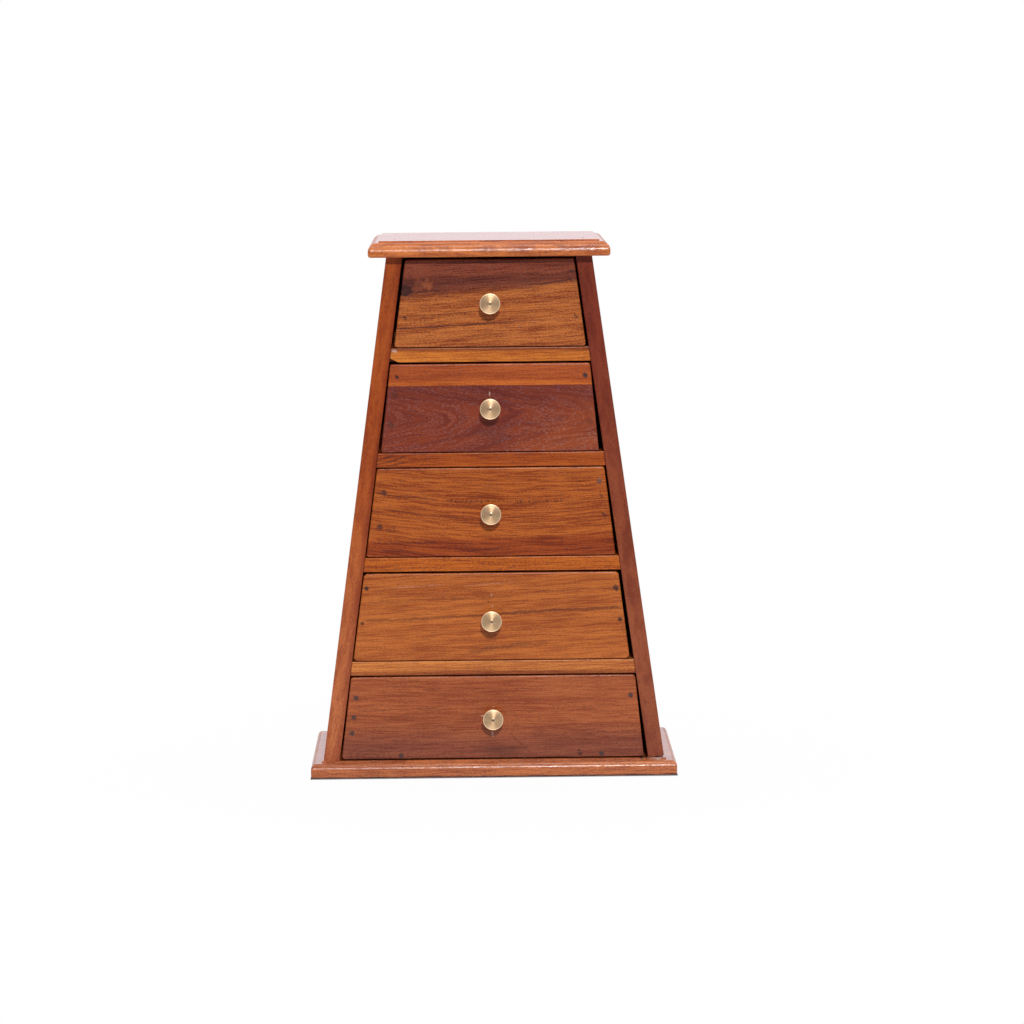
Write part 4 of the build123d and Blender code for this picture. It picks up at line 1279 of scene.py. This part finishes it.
def add_floor(settings):
    """A plain floor round the chest, open under its foot so that the underside has light."""
    foot_low, foot_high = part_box("base_board")
    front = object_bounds()[0][1] - settings.floor_front
    reach = settings.floor_reach
    left, right = foot_low.x + FLOOR_LAP, foot_high.x - FLOOR_LAP
    near, far = foot_low.y + FLOOR_LAP, foot_high.y - FLOOR_LAP
    outer = [(-reach, front), (reach, front), (reach, reach), (-reach, reach)]
    inner = [(left, near), (right, near), (right, far), (left, far)]
    corners = [(x, y, -FLOOR_GAP) for x, y in outer + inner]
    sides = [(0, 1, 5, 4), (1, 2, 6, 5), (2, 3, 7, 6), (3, 0, 4, 7)]
    data = bpy.data.meshes.new("floor")
    data.from_pydata(corners, [], sides)
    floor = bpy.data.objects.new("floor", data)
    data.materials.append(floor_material(settings))
    bpy.context.scene.collection.objects.link(floor)
    floor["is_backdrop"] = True


def set_world(settings):
    """White where it is seen directly; for light and reflections, bright behind and dim in front."""
    world = bpy.data.worlds.new("studio")
    bpy.context.scene.world = world
    world.use_nodes = True
    wires = Wiring(world.node_tree)
    _, behind, up = wires.split(wires.add("TexCoord", {})["Generated"])
    path = wires.add("LightPath", {})
    card = wires.ease(behind, *CARD_EDGE, settings.mirror_front, settings.mirror_card)
    floor_on = wires.ease(up, *FLOOR_EDGE)
    mirrored = wires.math("MULTIPLY_ADD", floor_on, settings.room_back - settings.mirror_front, card)
    added = wires.minus(mirrored, settings.room_front)
    front = wires.math("MULTIPLY_ADD", added, path["Is Glossy Ray"], settings.room_front)
    level = wires.ease(behind, *BACKDROP_EDGE, front, settings.room_back)
    grey = wires.add("CombineColor", {"Red": level, "Green": level, "Blue": level})["Color"]
    room = wires.mix(1.0, grey, rgba(settings.room_tint), "MULTIPLY")
    seen = wires.math("MAXIMUM", path["Is Camera Ray"], path["Is Transmission Ray"])
    background = world.node_tree.nodes["Background"]
    wires.fill(background, {"Color": wires.mix(seen, room, WHITE), "Strength": 1.0})


def add_camera(settings):
    """The camera of the main picture."""
    data = bpy.data.cameras.new("camera")
    data.lens = settings.lens
    data.sensor_width = settings.sensor
    camera = bpy.data.objects.new("camera", data)
    camera.location = settings.camera_place
    camera.rotation_euler = settings.camera_turn
    bpy.context.scene.collection.objects.link(camera)
    bpy.context.scene.camera = camera


# Operators

BOX_GRAIN_MIDDLE = (0.0, 0.0, 0.2)  # the drawers' boxes share their grain, laid out from here
KNOB_OUTWARD = Matrix(((1, 0, 0), (0, 0, -1), (0, 1, 0))).to_4x4()  # turns a knob's axis out of the front


class CHEST_OT_dress_case(bpy.types.Operator):
    """Gives the top, base, sides, back and shelves their wood"""

    bl_idname = "chest.dress_case"
    bl_label = "Dress Case"

    def execute(self, context):
        for node in ("top_board", "base_board", "left_side", "right_side", "back_panel"):
            dress_board(node)
        for shelf in SHELVES:
            dress_board(f"shelf_{shelf}", joint_shadows(f"shelf_{shelf}"))
        return {"FINISHED"}


class CHEST_OT_dress_fronts(bpy.types.Operator):
    """Gives each drawer front its own wood and the marks of its nails"""

    bl_idname = "chest.dress_fronts"
    bl_label = "Dress Drawer Fronts"

    def execute(self, context):
        for drawer in DRAWERS:
            nails = tuple(nail_spots(drawer))
            filled = dress_board(f"drawer_{drawer}_front", nails)
            dress(f"drawer_{drawer}_front_nails", filled)
            if f"drawer_{drawer}_front_strip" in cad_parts:
                dress_board(f"drawer_{drawer}_front_strip", nails)
        return {"FINISHED"}


class CHEST_OT_dress_boxes(bpy.types.Operator):
    """Gives the drawers' boxes plain unpolished wood"""

    bl_idname = "chest.dress_boxes"
    bl_label = "Dress Drawer Boxes"

    def execute(self, context):
        wood = context.scene.chest_wood
        kinds = {
            "drawer_box_side": (("left_side", "right_side"), wood.drawer_box),
            "drawer_box_back": (("back",), wood.drawer_box),
            "drawer_box_floor": (("floor",), wood.drawer_floor),
        }
        for kind, (pieces, colour) in kinds.items():
            material = board_material(f"{kind}_wood", BOARDS[kind], colour, BOX_GRAIN_MIDDLE)
            for drawer in DRAWERS:
                for piece in pieces:
                    dress(f"drawer_{drawer}_{piece}", material)
        return {"FINISHED"}


class CHEST_OT_turn_knobs(bpy.types.Operator):
    """Puts a turned brass knob in the place of each plain one"""

    bl_idname = "chest.turn_knobs"
    bl_label = "Turn Knobs"

    def execute(self, context):
        brass = context.scene.chest_brass
        material = brass_material()
        for drawer in DRAWERS:
            node = f"drawer_{drawer}_knob"
            low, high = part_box(node)
            profile = knob_profile((high.x - low.x) / 2, high.y - low.y, brass)
            data = turned_mesh(f"drawer_{drawer}_turned_knob", profile, brass.sides)
            data.materials.append(material)
            knob = bpy.data.objects.new(data.name, data)
            seat = Vector(((low.x + high.x) / 2, high.y, (low.z + high.z) / 2))
            knob.matrix_world = Matrix.Translation(seat) @ KNOB_OUTWARD
            context.scene.collection.objects.link(knob)
            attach(knob, f"drawer_{drawer}")
            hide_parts(node)
        return {"FINISHED"}


class CHEST_OT_dress_fasteners(bpy.types.Operator):
    """Gives the bare nails and screws their metal"""

    bl_idname = "chest.dress_fasteners"
    bl_label = "Dress Nails and Screws"

    def execute(self, context):
        nails = context.scene.chest_nails
        iron = iron_material("nail_iron", nails.iron, roughness=0.55, metallic=0.2)
        steel = iron_material("screw_steel", nails.steel, roughness=0.38, metallic=1.0)
        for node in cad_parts:
            if node.endswith("nails") and not node.endswith("front_nails"):
                dress(node, iron)
            elif node.endswith(("screw", "screws")):
                dress(node, steel)
        return {"FINISHED"}


class CHEST_OT_set_stage(bpy.types.Operator):
    """Adds the floor, the lamps, the white surroundings and the camera"""

    bl_idname = "chest.set_stage"
    bl_label = "Set Stage"

    def execute(self, context):
        settings = context.scene.chest_stage
        low, high = (Vector(corner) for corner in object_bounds())
        target = (low + high) / 2
        around = Vector(
            (
                math.sin(settings.key_side) * math.cos(settings.key_elevation),
                -math.cos(settings.key_side) * math.cos(settings.key_elevation),
                math.sin(settings.key_elevation),
            )
        )
        key_place = target + around * settings.key_distance
        add_lamp("key_lamp", key_place, target, settings.key_power, settings.key_size)
        add_lamp(
            "overhead_lamp", settings.overhead_place, target, settings.overhead_power, settings.overhead_size
        )
        add_floor(settings)
        set_world(settings)
        add_camera(settings)
        context.scene.view_settings.view_transform = "Standard"
        return {"FINISHED"}


OPERATORS = (
    CHEST_OT_dress_case,
    CHEST_OT_dress_fronts,
    CHEST_OT_dress_boxes,
    CHEST_OT_turn_knobs,
    CHEST_OT_dress_fasteners,
    CHEST_OT_set_stage,
)
SETTINGS = {
    "chest_stage": StageSettings,
    "chest_wood": WoodSettings,
    "chest_brass": BrassSettings,
    "chest_nails": NailSettings,
}


class CHEST_PT_sidebar(bpy.types.Panel):
    """Lists the steps that dress the chest, with their settings"""

    bl_idname = "CHEST_PT_sidebar"
    bl_label = "Drawer Chest"
    bl_space_type = "VIEW_3D"
    bl_region_type = "UI"
    bl_category = "Drawer Chest"

    def draw(self, context):
        for operator in OPERATORS:
            self.layout.operator(operator.bl_idname)
        for holder, kind in SETTINGS.items():
            box = self.layout.box()
            box.label(text=kind.__doc__)
            for name in kind.__annotations__:
                box.prop(getattr(context.scene, holder), name)


CLASSES = (*SETTINGS.values(), *OPERATORS, CHEST_PT_sidebar)


def register():
    """Registers the classes and the scene's settings."""
    for kind in CLASSES:
        bpy.utils.register_class(kind)
    for holder, kind in SETTINGS.items():
        setattr(bpy.types.Scene, holder, PointerProperty(type=kind))


def unregister():
    """Takes the classes and settings away again."""
    for holder in SETTINGS:
        delattr(bpy.types.Scene, holder)
    for kind in reversed(CLASSES):
        bpy.utils.unregister_class(kind)


def main():
    """Dresses the chest step by step."""
    register()
    bpy.ops.chest.dress_case()
    bpy.ops.chest.dress_fronts()
    bpy.ops.chest.dress_boxes()
    bpy.ops.chest.turn_knobs()
    bpy.ops.chest.dress_fasteners()
    bpy.ops.chest.set_stage()


if __name__ == "__main__":
    main()
